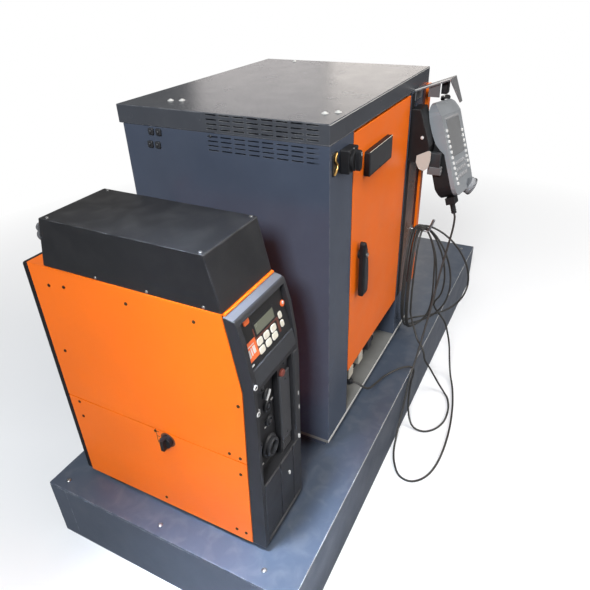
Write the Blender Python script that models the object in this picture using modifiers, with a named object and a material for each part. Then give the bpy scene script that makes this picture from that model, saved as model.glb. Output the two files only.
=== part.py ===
"""Control station of a welding robot, on its own plinth.

A long painted plinth carries a tall welding power source with a cooling unit under it and an
interface box on top, and a control cabinet with a hinged door, a main switch and a row of
connectors under the door. A teach pendant hangs in a sheet bracket at the cabinet's right, and
its cable is coiled over a hook, runs over the plinth to the floor and back to the connectors.

Metres, +Z up, X along the plinth, -Y the front. The origin is the middle of the plinth's underside.
"""
import math

import bmesh
import bpy
from mathutils import Matrix, Vector

# General clearances and sheet thicknesses
GAP = 0.0003
RUN = 0.005
SHEET = 0.003

# Rounding of edges, from thin sheet to soft mouldings, and what counts as an edge
FINE_EDGE = 0.001
SHEET_EDGE = 0.0015
PLATE_EDGE = 0.002
MOULDED_EDGE = 0.003
SOFT_EDGE = 0.006
SHARP_ANGLE = math.radians(35.0)
WELD_DISTANCE = 0.00001

# Plinth
PLINTH_LENGTH = 2.050
PLINTH_DEPTH = 0.800
PLINTH_HEIGHT = 0.215
PLINTH_PLATE = 0.008
PLINTH_RAIL = 0.060
PLINTH_CROSS = 0.080

# Power source: its place on the plinth, and its size
SOURCE_INSET = 0.0865
SOURCE_SETBACK = 0.112
SOURCE_WIDTH = 0.200
SOURCE_LENGTH = 0.597
SOURCE_FOOT = 0.014
SOURCE_FOOT_LENGTH = 0.060
SOURCE_FOOT_INSET = 0.060
SOURCE_FOOT_SIDE = 0.004
COOLER_TOP = 0.305
SOURCE_KINK = 0.520
SOURCE_TOP = 0.703
EDGE_AT_BASE = 0.045
EDGE_AT_SEAM = 0.037
EDGE_AT_KINK = 0.030
EDGE_AT_TOP = 0.060
SEAM = 0.004
TOP_COVER = 0.003
REAR_BEZEL = 0.020
BROW_NOSE = 0.031
BROW_DROP = 0.005
BROW_HEEL = 0.026
BROW_HEIGHT = 0.018
FRAME_LINE = ((0.015, 0.643), (0.003, 0.563), (-0.001, 0.490), (0.000, 0.391), (0.004, SOURCE_FOOT))
PANEL_SIDE = 0.012
PANEL_BASE = 0.532
PANEL_TOP = 0.686
PANEL_TOP_DEPTH = 0.038
SOCKET_BAY_DEPTH = 0.026
SOCKET_BAY_LEFT = 0.010
SOCKET_BAY_RIGHT = 0.116
SOCKET_BAY_BASE = 0.240
SOCKET_BAY_TOP = 0.522
COVER_BAY_DEPTH = 0.012
COVER_BAY_RIGHT = 0.166
CUT_OVERLAP = 0.001

# Rotary switch on the cooling unit
DIAL_BACK = 0.267
DIAL_UP = 0.281
DIAL_RADIUS = 0.017
DIAL_DEPTH = 0.012
DIAL_GRIP = 0.010
DIAL_GRIP_ROOT = 0.010
DIAL_PROUD = 0.024

# Interface box on the power source
BOX_INSET = 0.002
BOX_HEIGHT = 0.122
BOX_FOOT_FRONT = 0.059
BOX_FOOT_REAR = 0.052
BOX_SLOPE_FRONT = 0.028
BOX_SLOPE_REAR = 0.030

# Control cabinet: its place, its size and its sheet metal
CABINET_GAP = 0.172
CABINET_SETBACK = 0.112
CABINET_WIDTH = 0.792
CABINET_DEPTH = 0.585
CABINET_HEIGHT = 0.948
LID_HEIGHT = 0.047
LID_OVERHANG = 0.014
RUNNER_HEIGHT = 0.035
RUNNER_WIDTH = 0.060
RUNNER_INSET = 0.020
BASE_THICKNESS = 0.012
STILE_WIDTH = 0.140
STILE_DEPTH = 0.040
COLUMN_WIDTH = 0.182
COLUMN_DEPTH = 0.060
HEADER_HEIGHT = 0.060
HEADER_DEPTH = 0.030
HEADER_GAP = 0.008
STRIP_WIDTH = 0.027
STRIP_PROUD = 0.010
STRIP_TOP_GAP = 0.002

# Ventilation slots in the cabinet's left side and in the lid's left flange
SLOT_LENGTH = 0.030
SLOT_HEIGHT = 0.0032
SLOT_PITCH_ALONG = 0.038
SLOT_PITCH_UP = 0.011
SLOT_COUNT = 8
SLOT_ROWS = 4
SLOT_FIELD_FRONT = 0.026
SLOT_LID_LOWEST = 0.008
SLOT_PANEL_HIGHEST = 0.010

# Cabinet door, its pivots and its handle
DOOR_BOTTOM = 0.172
DOOR_DEPTH = 0.022
DOOR_SIDE_GAP = 0.010
DOOR_TOP_GAP = 0.007
PIVOT_GAP = 0.001
PIVOT_REACH = 0.010
PIVOT_INSET = 0.012
PIN_RADIUS = 0.004
PIN_LENGTH = 0.016
PIVOT_PLATE = 0.003
HANDLE_X = 0.042
HANDLE_Z = 0.420
HANDLE_OUTLINE = ((0.000, 0.000), (0.036, 0.000), (0.042, 0.012), (0.044, 0.042), (0.040, 0.090),
                  (0.030, 0.140), (0.018, 0.165), (0.008, 0.171), (0.002, 0.164))
HANDLE_PROUD = 0.022
HANDLE_PIVOT_X = 0.018
HANDLE_PIVOT_Z = 0.128
HANDLE_PLATE = 0.005
HANDLE_PLATE_RADIUS = 0.014
SERVICE_X = 0.163
SERVICE_Z = 0.797
SERVICE_WIDTH = 0.181
SERVICE_HEIGHT = 0.065
SERVICE_PROUD = 0.014
SERVICE_CORNER = 0.005
SERVICE_EDGE = 0.002

# Main switch on the left stile
SWITCH_X = 0.083
SWITCH_Z = 0.851
SWITCH_BASE = 0.056
SWITCH_BASE_PROUD = 0.024
SWITCH_KNOB_RADIUS = 0.025
SWITCH_KNOB_DISC = 0.008
SWITCH_KNOB_PROUD = 0.037
SWITCH_GRIP = 0.014
SWITCH_GRIP_ROOT = 0.002

# Connection bay under the door
BAY_DEPTH = 0.090
BAY_SHEET = 0.003
HOOD_RAIL = 0.010
HOOD_COUNT = 4
HOOD_WIDTH = 0.046
HOOD_HEIGHT = 0.062
HOOD_DEPTH = 0.044
HOOD_PITCH = 0.085
HOOD_FIRST = 0.215
HOOD_RISE = 0.030
HOOD_INSET = 0.006
RAIL_END = 0.012

# Inside the cabinet
PLATE_SETBACK = 0.060
PLATE_TOP = 0.820
MODULE_GAP = 0.030
MODULE_INSET = 0.070
DRIVE_WIDTH = 0.330
DRIVE_HEIGHT = 0.260
DRIVE_DEPTH = 0.180
COMPUTER_WIDTH = 0.220
COMPUTER_HEIGHT = 0.340
COMPUTER_DEPTH = 0.150
MODULE_BASE = 0.300

# Teach pendant: its middle, how it leans and is turned in its plane, and its size. The outlines of its
# two shells are places behind and above its middle, seen from its side.
PENDANT_X = 0.785
PENDANT_OUT = 0.095
PENDANT_Z = 0.695
PENDANT_TILT = math.radians(19.0)
PENDANT_ROLL = math.radians(7.0)
PENDANT_WIDTH = 0.240
PENDANT_HEIGHT = 0.304
PENDANT_RISE = 0.004
PENDANT_FACE = 0.026
PENDANT_DEPTH = 0.045
PENDANT_CORNER = 0.040
FRONT_EDGE = 0.0025
BACK_EDGE = 0.005
FRONT_SHELL = ((-0.030, -0.150), (-0.030, 0.112), (-0.026, 0.112), (-0.014, 0.146), (-0.005, 0.158),
               (0.004, 0.156), (0.011, 0.135), (0.0135, 0.100), (0.013, 0.070), (0.009, 0.034),
               (-0.002, 0.010), (-0.013, -0.006), (-0.013, -0.150))
BACK_SHELL = ((-0.0127, -0.150), (-0.0127, -0.006), (-0.0016, 0.0097), (0.0094, 0.0335), (0.020, 0.012),
              (0.038, -0.050), (0.039, -0.110), (0.030, -0.150))
PENDANT_SEAT = 0.0135
SCREEN_WIDTH = 0.156
SCREEN_HEIGHT = 0.118
SCREEN_PROUD = 0.0015
SCREEN_X = -0.002
SCREEN_RISE = 0.036
SCREEN_CORNER = 0.006
JOG_PLACE = (0.055, -0.030, -0.146)
JOG_AXIS = (0.35, -0.65, -0.67)
JOG_RADIUS = 0.030
JOG_DEPTH = 0.012
JOG_PROUD = 0.010
BOOT_X = -0.088
BOOT_BLOCK = 0.022
BOOT_BLOCK_WIDTH = 0.044
BOOT_BLOCK_DEPTH = 0.030
BOOT_RADIUS = 0.008
BOOT_LENGTH = 0.056

# Sheet bracket over the pendant, the holder behind it and the lug at the holder's foot
BRACKET_LEFT = 0.640
BRACKET_WIDTH = 0.065
BRACKET_TIP_WIDTH = 0.023
BRACKET_SHEET = 0.003
BRACKET_ROOT_Z = 0.901
BRACKET_CREST_OUT = 0.105
BRACKET_CREST_Z = 0.940
BRACKET_TIP_OUT = 0.140
BRACKET_TIP_Z = 0.876
BRACKET_LEG = 0.030
TAPER_START = 0.002
TAPER_MARGIN = 0.010
HOLDER_LEFT = 0.622
HOLDER_WIDTH = 0.078
HOLDER_BASE = 0.685
HOLDER_TOP = 0.850
HOLDER_HEEL = 0.740
HOLDER_NOSE = 0.060
LUG_LEFT = 0.630
LUG_WIDTH = 0.025
LUG_REAR = 0.040
LUG_OUT = 0.105
LUG_BASE = 0.634
LUG_TOP = 0.668
LUG_SEAT = 0.003
LUG_CHAMFER = 0.020

# Cable of the pendant: its hook, and the coil that hangs from it
CABLE_RADIUS = 0.0035
HOOK_X = 0.735
HOOK_Z = 0.404
HOOK_RADIUS = 0.005
HOOK_REACH = 0.060
HOOK_BEND = 0.007
HOOK_TIP_OUT = 0.080
HOOK_TIP_Z = 0.450
COIL_OUT = 0.036
COIL_LEFT = 0.100
COIL_RIGHT = 0.130
COIL_BEND = 0.080
COIL_ALONG = (0.70, 0.28)
COIL_FORWARD = (0.46, 0.445)
COIL_SAG = 0.22
COIL_THICKNESS = 0.036
COIL_BOTTOM = 0.020
COIL_SEAT = 0.0016
COIL_TOUCH = 0.0008
COIL_POINTS = 48
COIL_ARRIVAL = math.pi - 0.75
COIL_LEAVING = math.pi + 0.75
ARRIVAL_SIDE = (0.1, -0.6, -0.8)
LEAVING_SIDE = (-0.1, -0.6, -0.8)
ROUTE_SPACING = 0.032
STRAIGHT_LEAD = 0.012
COIL_LEAD = 0.020

# Places along the cable in millimetres right of, behind and above the cabinet's front left corner:
# from the pendant over the plinth's edge to the floor and up to the coil, and from the coil to the
# floor and back over the edge to the connectors
UPPER_ROUTE = ((676, -160, 458), (668, -153, 395), (645, -145, 315), (612, -138, 225), (592, -135, 172),
               (564, -130, 112), (515, -123, 20), (476, -120, -22), (450, -119, -52), (418, -118, -110),
               (378, -118, -180), (330, -121, -228), (288, -128, -246), (235, -146, -246),
               (185, -180, -246), (180, -226, -246), (228, -266, -246), (320, -284, -246),
               (455, -282, -246), (590, -264, -246), (700, -238, -246), (775, -210, -236),
               (814, -192, -190), (822, -182, -130), (821, -168, -70), (813, -150, -12))
LOWER_ROUTE = ((652, -84, -14), (628, -107, -25), (614, -121, -39), (616, -130, -75), (640, -148, -125),
               (662, -168, -180), (672, -190, -225), (660, -214, -245), (628, -236, -246),
               (570, -252, -246), (500, -252, -246), (448, -232, -246), (418, -198, -246),
               (420, -160, -244), (440, -136, -225), (458, -122, -170), (478, -118, -100),
               (494, -118, -52), (497, -117, -33), (488, -105, -26), (458, -74, -27), (400, -44, -21),
               (330, -38, 2), (262, -32, 24), (222, -26, 58))
PLUG_LENGTH = 0.030
PLUG_RADIUS = 0.012


def material(name, colour, roughness, metallic=0.0):
    """A Principled material with a plain colour."""
    shade = bpy.data.materials.new(name)
    shade.use_nodes = True
    surface = shade.node_tree.nodes["Principled BSDF"]
    surface.inputs["Base Color"].default_value = (*colour, 1.0)
    surface.inputs["Roughness"].default_value = roughness
    surface.inputs["Metallic"].default_value = metallic
    shade.diffuse_color = (*colour, 1.0)
    return shade


def keep(thing, shade, rounding=0.0, segments=2):
    """Puts a finished piece into the model's collection, with its material and rounded edges."""
    thing.data.materials.append(shade)
    station.objects.link(thing)
    if rounding:
        round_edges(thing, rounding, segments)
    return thing


def round_edges(thing, rounding, segments):
    """Rounds a piece's sharp edges."""
    bevel = thing.modifiers.new("rounded edges", "BEVEL")
    bevel.width = rounding
    bevel.segments = segments
    bevel.limit_method = "ANGLE"
    bevel.angle_limit = SHARP_ANGLE


def boxes_mesh(name, corners):
    """One mesh of the boxes between pairs of opposite corners."""
    form = bmesh.new()
    for low, high in corners:
        low = Vector(low)
        high = Vector(high)
        place = Matrix.Translation((low + high) / 2.0) @ Matrix.Diagonal((*(high - low), 1.0))
        bmesh.ops.create_cube(form, size=1.0, matrix=place)
    mesh = bpy.data.meshes.new(name)
    form.to_mesh(mesh)
    form.free()
    return mesh


def block(name, low, high, shade, rounding=0.0, segments=2):
    """A box between two opposite corners."""
    thing = bpy.data.objects.new(name, boxes_mesh(name, [(low, high)]))
    return keep(thing, shade, rounding, segments)


def turn_to(direction):
    """The turn that takes the local Z axis to a direction."""
    return Vector((0.0, 0.0, 1.0)).rotation_difference(Vector(direction)).to_matrix().to_4x4()


def rod_mesh(name, radius, start, end, sides=24):
    """A mesh cylinder between two points."""
    start = Vector(start)
    end = Vector(end)
    form = bmesh.new()
    place = Matrix.Translation((start + end) / 2.0) @ turn_to(end - start)
    bmesh.ops.create_cone(form, cap_ends=True, segments=sides, radius1=radius, radius2=radius,
                          depth=(end - start).length, matrix=place)
    mesh = bpy.data.meshes.new(name)
    form.to_mesh(mesh)
    form.free()
    return mesh


def rod(name, radius, start, end, shade, sides=24, rounding=0.0):
    """A round bar between two points."""
    thing = bpy.data.objects.new(name, rod_mesh(name, radius, start, end, sides))
    return keep(thing, shade, rounding)


def extruded(name, outline, start, end, along):
    """A flat outline drawn out along X (outline in Y, Z), Y (in X, Z) or Z (in X, Y), as a mesh."""
    axes = {"X": ((0, 0, 1), (1, 0, 0), (0, 1, 0)),
            "Y": ((1, 0, 0), (0, 0, -1), (0, 1, 0)),
            "Z": ((1, 0, 0), (0, 1, 0), (0, 0, 1))}[along]
    curve = bpy.data.curves.new(name, "CURVE")
    curve.dimensions = "2D"
    curve.fill_mode = "BOTH"
    curve.extrude = (end - start) / 2.0
    spline = curve.splines.new("POLY")
    spline.points.add(len(outline) - 1)
    for point, place in zip(spline.points, outline):
        point.co = (*place, 0.0, 1.0)
    spline.use_cyclic_u = True
    drawn = bpy.data.objects.new(name + " outline", curve)
    middle = (start + end) / 2.0
    offset = {"X": (middle, 0, 0), "Y": (0, middle, 0), "Z": (0, 0, middle)}[along]
    bpy.context.scene.collection.objects.link(drawn)
    drawn.matrix_world = Matrix.Translation(offset) @ Matrix(axes).to_4x4()
    return mesh_of(drawn, name)


def mesh_of(drawn, name):
    """The closed mesh of a curve object, in the world, with the curve removed."""
    bpy.context.view_layer.update()
    evaluated = drawn.evaluated_get(bpy.context.evaluated_depsgraph_get())
    mesh = bpy.data.meshes.new_from_object(evaluated)
    mesh.name = name
    mesh.transform(drawn.matrix_world)
    form = bmesh.new()
    form.from_mesh(mesh)
    bmesh.ops.remove_doubles(form, verts=form.verts, dist=WELD_DISTANCE)
    bmesh.ops.recalc_face_normals(form, faces=form.faces)
    form.to_mesh(mesh)
    form.free()
    bpy.data.objects.remove(drawn)
    return mesh


def prism(name, outline, start, end, along, shade, rounding=0.0, segments=2):
    """A piece made by drawing out a flat outline."""
    thing = bpy.data.objects.new(name, extruded(name, outline, start, end, along))
    return keep(thing, shade, rounding, segments)


def tube(name, points, radius, shade, resolution=2, closed=False):
    """A round bar or cable through points."""
    curve = bpy.data.curves.new(name, "CURVE")
    curve.dimensions = "3D"
    curve.bevel_depth = radius
    curve.bevel_resolution = resolution
    curve.use_fill_caps = True
    spline = curve.splines.new("POLY")
    spline.points.add(len(points) - 1)
    for point, place in zip(spline.points, points):
        point.co = (*place, 1.0)
    spline.use_cyclic_u = closed
    thing = bpy.data.objects.new(name, curve)
    return keep(thing, shade)


def guide(name, mesh):
    """A cutting or joining shape, kept out of sight."""
    thing = bpy.data.objects.new(name, mesh)
    thing.hide_render = True
    thing.display_type = "WIRE"
    cutters.objects.link(thing)
    return thing


def combine(thing, mesh, operation):
    """Cuts a shape out of a piece, joins it on or keeps what both share."""
    change = thing.modifiers.new(operation.lower(), "BOOLEAN")
    change.operation = operation
    change.solver = "EXACT"
    change.object = guide(thing.name + " " + operation.lower(), mesh)
    return change


def rounded_rectangle(width, height, corner, steps=5):
    """The outline of a rectangle about the middle, with round corners."""
    points = []
    for quarter in range(4):
        start = quarter * math.pi / 2.0
        side_x = (1, -1, -1, 1)[quarter] * (width / 2.0 - corner)
        side_y = (1, 1, -1, -1)[quarter] * (height / 2.0 - corner)
        for step in range(steps + 1):
            angle = start + step / steps * math.pi / 2.0
            points.append((side_x + corner * math.cos(angle), side_y + corner * math.sin(angle)))
    return points


def smooth_route(places, spacing):
    """Points along a smooth curve through the places, about one spacing apart."""
    ends = [places[0] * 2.0 - places[1], *places, places[-1] * 2.0 - places[-2]]
    route = []
    for index in range(1, len(ends) - 2):
        before, start, end, after = ends[index - 1:index + 3]
        steps = max(1, round((end - start).length / spacing))
        for step in range(steps):
            t = step / steps
            point = (start * 2.0 + (end - before) * t
                     + (before * 2.0 - start * 5.0 + end * 4.0 - after) * t * t
                     + (start * 3.0 - before - end * 3.0 + after) * t * t * t) / 2.0
            route.append(point)
    route.append(places[-1])
    return route


# Places that several pieces share
plinth_left = -PLINTH_LENGTH / 2.0
plinth_front = -PLINTH_DEPTH / 2.0
source_left = plinth_left + SOURCE_INSET
source_right = source_left + SOURCE_WIDTH
source_y = plinth_front + SOURCE_SETBACK
cabinet_left = source_right + CABINET_GAP
cabinet_right = cabinet_left + CABINET_WIDTH
cabinet_front = plinth_front + CABINET_SETBACK
cabinet_back = cabinet_front + CABINET_DEPTH
cabinet_base = PLINTH_HEIGHT + RUNNER_HEIGHT
cabinet_top = cabinet_base + CABINET_HEIGHT
lid_bottom = cabinet_top - LID_HEIGHT
base_top = cabinet_base + BASE_THICKNESS
panel_bottom = base_top + GAP
panel_top = lid_bottom - GAP
column_left = cabinet_right - COLUMN_WIDTH
door_left = cabinet_left + STILE_WIDTH + RUN
door_right = column_left - DOOR_SIDE_GAP
door_low = cabinet_base + DOOR_BOTTOM
door_high = lid_bottom - DOOR_TOP_GAP
pivot_x = door_right - PIVOT_INSET
pivot_y = cabinet_front + DOOR_DEPTH / 2.0


def make_plinth(paint):
    """A ladder of box rails with a thick top plate."""
    rail_top = PLINTH_HEIGHT - PLINTH_PLATE - GAP
    right = -plinth_left
    back = -plinth_front
    block("plinth_top", (plinth_left, plinth_front, PLINTH_HEIGHT - PLINTH_PLATE),
          (right, back, PLINTH_HEIGHT), paint, PLATE_EDGE)
    block("plinth_front_rail", (plinth_left, plinth_front, 0.0),
          (right, plinth_front + PLINTH_RAIL, rail_top), paint)
    block("plinth_rear_rail", (plinth_left, back - PLINTH_RAIL, 0.0), (right, back, rail_top), paint)
    inner_front = plinth_front + PLINTH_RAIL + GAP
    inner_back = back - PLINTH_RAIL - GAP
    block("plinth_left_end", (plinth_left, inner_front, 0.0),
          (plinth_left + PLINTH_RAIL, inner_back, rail_top), paint)
    block("plinth_right_end", (right - PLINTH_RAIL, inner_front, 0.0),
          (right, inner_back, rail_top), paint)
    block("plinth_cross_member", (-PLINTH_CROSS / 2.0, inner_front, 0.0),
          (PLINTH_CROSS / 2.0, inner_back, rail_top), paint)


def front_edge(height, offset=0.0):
    """Where the power source's side panels end at the front, at a height over the plinth."""
    heights = (0.0, COOLER_TOP, SOURCE_KINK, SOURCE_TOP)
    places = (EDGE_AT_BASE, EDGE_AT_SEAM, EDGE_AT_KINK, EDGE_AT_TOP)
    for low, high, start, end in zip(heights, heights[1:], places, places[1:]):
        if height <= high:
            return source_y + offset + start + (end - start) * (height - low) / (high - low)
    return source_y + offset + EDGE_AT_TOP


def side_outline(low, high, front=0.0, rear=0.0):
    """The outline of the power source between two heights over the plinth, seen from its side."""
    levels = [level for level in (low, COOLER_TOP, SOURCE_KINK, high) if low <= level <= high]
    points = [(front_edge(level, front), PLINTH_HEIGHT + level) for level in levels]
    back = source_y + SOURCE_LENGTH - rear
    return points + [(back, PLINTH_HEIGHT + high), (back, PLINTH_HEIGHT + low)]


def make_power_source(orange, black, dark):
    """Power source and cooling unit, one over the other, between orange side panels."""
    low = SOURCE_FOOT
    core_left = source_left + SHEET + GAP
    core_right = source_right - SHEET - GAP
    prism("source_core", side_outline(low, SOURCE_TOP, GAP), core_left, core_right, "X", dark)
    for side, start, end in (("left", source_left, source_left + SHEET),
                             ("right", source_right - SHEET, source_right)):
        prism("source_upper_panel_" + side, side_outline(COOLER_TOP + SEAM / 2.0, SOURCE_TOP),
              start, end, "X", orange)
        prism("source_lower_panel_" + side, side_outline(low, COOLER_TOP - SEAM / 2.0),
              start, end, "X", orange)
    top = PLINTH_HEIGHT + SOURCE_TOP
    rear = source_y + SOURCE_LENGTH
    block("source_top_cover", (source_left, source_y + EDGE_AT_TOP, top + GAP),
          (source_right, rear, top + GAP + TOP_COVER), orange)
    box_base = top + TOP_COVER + 2.0 * GAP
    box_top = box_base + BOX_HEIGHT
    box_front = source_y + BOX_FOOT_FRONT
    box_rear = rear - BOX_FOOT_REAR
    prism("interface_box",
          [(box_front, box_base), (box_rear, box_base),
           (box_rear - BOX_SLOPE_REAR, box_top), (box_front + BOX_SLOPE_FRONT, box_top)],
          source_left + BOX_INSET, source_right - BOX_INSET, "X", black, MOULDED_EDGE)
    for name, start in (("front", SOURCE_FOOT_INSET),
                        ("rear", SOURCE_LENGTH - SOURCE_FOOT_INSET - SOURCE_FOOT_LENGTH)):
        block("source_foot_" + name, (source_left + SOURCE_FOOT_SIDE, source_y + start, PLINTH_HEIGHT + GAP),
              (source_right - SOURCE_FOOT_SIDE, source_y + start + SOURCE_FOOT_LENGTH,
               PLINTH_HEIGHT + low - GAP), black, PLATE_EDGE)
    make_source_front(black)
    make_source_rear(black)
    make_source_switch(black)


def make_source_front(black):
    """The moulded front: a brow over a sunk sloping control panel, a socket bay and a cover strip."""
    rear = -2.0 * GAP
    top = PLINTH_HEIGHT + SOURCE_TOP
    outline = [(front_edge(SOURCE_TOP, rear), top), (source_y + BROW_NOSE, top - BROW_DROP),
               (source_y + BROW_HEEL, top - BROW_HEIGHT)]
    outline += [(source_y + out, PLINTH_HEIGHT + level) for out, level in FRAME_LINE]
    outline += [(front_edge(level, rear), PLINTH_HEIGHT + level)
                for level in (SOURCE_FOOT, COOLER_TOP, SOURCE_KINK)]
    bezel = prism("source_front_bezel", outline, source_left, source_right, "X", black, MOULDED_EDGE)
    before = source_y - 0.05
    panel = [(before, PLINTH_HEIGHT + PANEL_BASE), (source_y, PLINTH_HEIGHT + PANEL_BASE),
             (source_y + PANEL_TOP_DEPTH, PLINTH_HEIGHT + PANEL_TOP), (before, PLINTH_HEIGHT + PANEL_TOP)]
    sunk = extruded("control panel", panel, source_left + PANEL_SIDE, source_right - PANEL_SIDE, "X")
    combine(bezel, sunk, "DIFFERENCE")
    base = PLINTH_HEIGHT + SOCKET_BAY_BASE
    high = PLINTH_HEIGHT + SOCKET_BAY_TOP
    split = source_left + SOCKET_BAY_RIGHT
    socket_bay = ((source_left + SOCKET_BAY_LEFT, before, base),
                  (split, source_y + SOCKET_BAY_DEPTH, high))
    combine(bezel, boxes_mesh("socket bay", [socket_bay]), "DIFFERENCE")
    cover_right = source_left + COVER_BAY_RIGHT
    cover_face = source_y + COVER_BAY_DEPTH
    combine(bezel, boxes_mesh("cover bay", [((split - CUT_OVERLAP, before, base),
                                              (cover_right, cover_face, high))]), "DIFFERENCE")


def make_source_rear(black):
    """A plain moulded rear frame."""
    start = source_y + SOURCE_LENGTH + GAP
    block("source_rear_bezel", (source_left, start, PLINTH_HEIGHT + SOURCE_FOOT),
          (source_right, start + REAR_BEZEL, PLINTH_HEIGHT + SOURCE_TOP), black, SOFT_EDGE)


def make_source_switch(black):
    """The cooling unit's rotary switch, low on the left panel."""
    y = source_y + DIAL_BACK
    z = PLINTH_HEIGHT + DIAL_UP
    knob = rod("source_switch", DIAL_RADIUS, (source_left - GAP, y, z), (source_left - DIAL_DEPTH, y, z),
               black, 24)
    half = DIAL_GRIP / 2.0
    grip = boxes_mesh("switch grip", [((source_left - DIAL_PROUD, y - half, z - DIAL_RADIUS),
                                       (source_left - DIAL_GRIP_ROOT, y + half, z + DIAL_RADIUS))])
    combine(knob, grip, "UNION")


def slot_cutters(name, lowest):
    """Rows of long narrow slots through the left side."""
    corners = []
    for row in range(SLOT_ROWS):
        for column in range(SLOT_COUNT):
            y = cabinet_front + SLOT_FIELD_FRONT + column * SLOT_PITCH_ALONG
            z = lowest + row * SLOT_PITCH_UP
            corners.append(((cabinet_left - 0.01, y, z),
                            (cabinet_left + SHEET + 0.01, y + SLOT_LENGTH, z + SLOT_HEIGHT)))
    return boxes_mesh(name, corners)


def make_cabinet(paint, lid_paint, bright, orange):
    """Sheet panels round an open inside, on two runners, under a flanged lid."""
    side_front = cabinet_front + STILE_DEPTH + GAP
    side_back = cabinet_back - SHEET - GAP
    for name, start in (("left", cabinet_left + RUNNER_INSET),
                        ("right", cabinet_right - RUNNER_INSET - RUNNER_WIDTH)):
        block("cabinet_runner_" + name, (start, cabinet_front + RUNNER_INSET, PLINTH_HEIGHT + GAP),
              (start + RUNNER_WIDTH, cabinet_back - RUNNER_INSET, cabinet_base - GAP), paint)
    block("cabinet_base", (cabinet_left, cabinet_front, cabinet_base),
          (cabinet_right, cabinet_back, base_top), bright, SHEET_EDGE)
    left = block("cabinet_left_side", (cabinet_left, cabinet_front, panel_bottom),
                 (cabinet_left + SHEET, side_back, panel_top), paint)
    combine(left, slot_cutters("side slots", panel_top - SLOT_PANEL_HIGHEST
                               - (SLOT_ROWS - 1) * SLOT_PITCH_UP), "DIFFERENCE")
    block("cabinet_right_side", (cabinet_right - SHEET, cabinet_front + COLUMN_DEPTH + GAP, panel_bottom),
          (cabinet_right, side_back, panel_top), paint)
    block("cabinet_back", (cabinet_left, cabinet_back - SHEET, panel_bottom),
          (cabinet_right, cabinet_back, panel_top), paint)
    lid = block("cabinet_lid", (cabinet_left, cabinet_front, lid_bottom),
                (cabinet_right, cabinet_back + LID_OVERHANG, cabinet_top), lid_paint, PLATE_EDGE)
    hollow = [((cabinet_left + SHEET, cabinet_front + SHEET, lid_bottom - 0.01),
               (cabinet_right - SHEET, cabinet_back + LID_OVERHANG - SHEET, cabinet_top - SHEET))]
    combine(lid, boxes_mesh("lid hollow", hollow), "DIFFERENCE")
    combine(lid, slot_cutters("lid slots", lid_bottom + SLOT_LID_LOWEST), "DIFFERENCE")
    block("cabinet_stile", (cabinet_left + SHEET + GAP, cabinet_front, panel_bottom),
          (cabinet_left + STILE_WIDTH, cabinet_front + STILE_DEPTH, panel_top), paint, FINE_EDGE)
    block("cabinet_column", (column_left, cabinet_front, panel_bottom),
          (cabinet_right, cabinet_front + COLUMN_DEPTH, panel_top), paint, FINE_EDGE)
    header_y = cabinet_front + DOOR_DEPTH + HEADER_GAP
    block("cabinet_header", (cabinet_left + STILE_WIDTH + GAP, header_y, panel_top - HEADER_HEIGHT),
          (column_left - GAP, header_y + HEADER_DEPTH, panel_top), paint)
    block("column_strip", (cabinet_right - STRIP_WIDTH, cabinet_front - GAP - STRIP_PROUD, door_low),
          (cabinet_right, cabinet_front - GAP, panel_top - STRIP_TOP_GAP), orange)


def make_door(orange, black, bright):
    """A tray-shaped leaf on two pivot pins, with its service panel and its turning handle."""
    door = block("cabinet_door", (door_left, cabinet_front, door_low),
                 (door_right, cabinet_front + DOOR_DEPTH, door_high), orange, SHEET_EDGE)
    hollow = [((door_left + SHEET, cabinet_front + SHEET, door_low + SHEET),
               (door_right - SHEET, cabinet_front + DOOR_DEPTH + 0.01, door_high - SHEET))]
    combine(door, boxes_mesh("door hollow", hollow), "DIFFERENCE")
    hole = PIN_RADIUS + GAP * 2.0
    for name, level in (("lower", door_low + SHEET / 2.0), ("upper", door_high - SHEET / 2.0)):
        combine(door, rod_mesh(name + " pin hole", hole, (pivot_x, pivot_y, level - 0.01),
                               (pivot_x, pivot_y, level + 0.01)), "DIFFERENCE")
    for name, edge, inward in (("lower", door_low - PIVOT_GAP, 1.0), ("upper", door_high + PIVOT_GAP, -1.0)):
        plate_out = edge - inward * PIVOT_PLATE
        low = min(edge, plate_out)
        high = max(edge, plate_out)
        pivot = block("door_pivot_" + name, (pivot_x - PIVOT_REACH, cabinet_front + SHEET, low),
                      (column_left - GAP, cabinet_front + DOOR_DEPTH, high), bright)
        combine(pivot, rod_mesh(name + " pin", PIN_RADIUS, (pivot_x, pivot_y, edge - inward * PIVOT_GAP),
                                (pivot_x, pivot_y, edge + inward * PIN_LENGTH)), "UNION")
    move_origin(door, (pivot_x, pivot_y, (door_low + door_high) / 2.0))
    face = cabinet_front - GAP
    panel_x = door_left + SERVICE_X
    outline = [(panel_x + x, cabinet_base + SERVICE_Z + z) for x, z
               in rounded_rectangle(SERVICE_WIDTH, SERVICE_HEIGHT, SERVICE_CORNER)]
    prism("service_panel", outline, face - SERVICE_PROUD, face, "Y", black, SERVICE_EDGE)
    make_handle(door_left + HANDLE_X, cabinet_base + HANDLE_Z, face, black)


def make_handle(x, z, face, black):
    """A round plate on the door and a tapered turning handle on it."""
    pivot = Vector((x + HANDLE_PIVOT_X, face, z + HANDLE_PIVOT_Z))
    plate_face = face - HANDLE_PLATE
    rod("handle_plate", HANDLE_PLATE_RADIUS, pivot, (pivot.x, plate_face, pivot.z), black, 32, FINE_EDGE)
    outline = [(x + across, z + up) for across, up in HANDLE_OUTLINE]
    lever = prism("door_handle", outline, face - HANDLE_PROUD, plate_face - GAP, "Y", black, SOFT_EDGE, 3)
    move_origin(lever, (pivot.x, plate_face - GAP, pivot.z))


def move_origin(thing, place):
    """Moves a piece's origin without moving the piece."""
    place = Vector(place)
    thing.data.transform(Matrix.Translation(-place))
    thing.location = place


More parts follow.
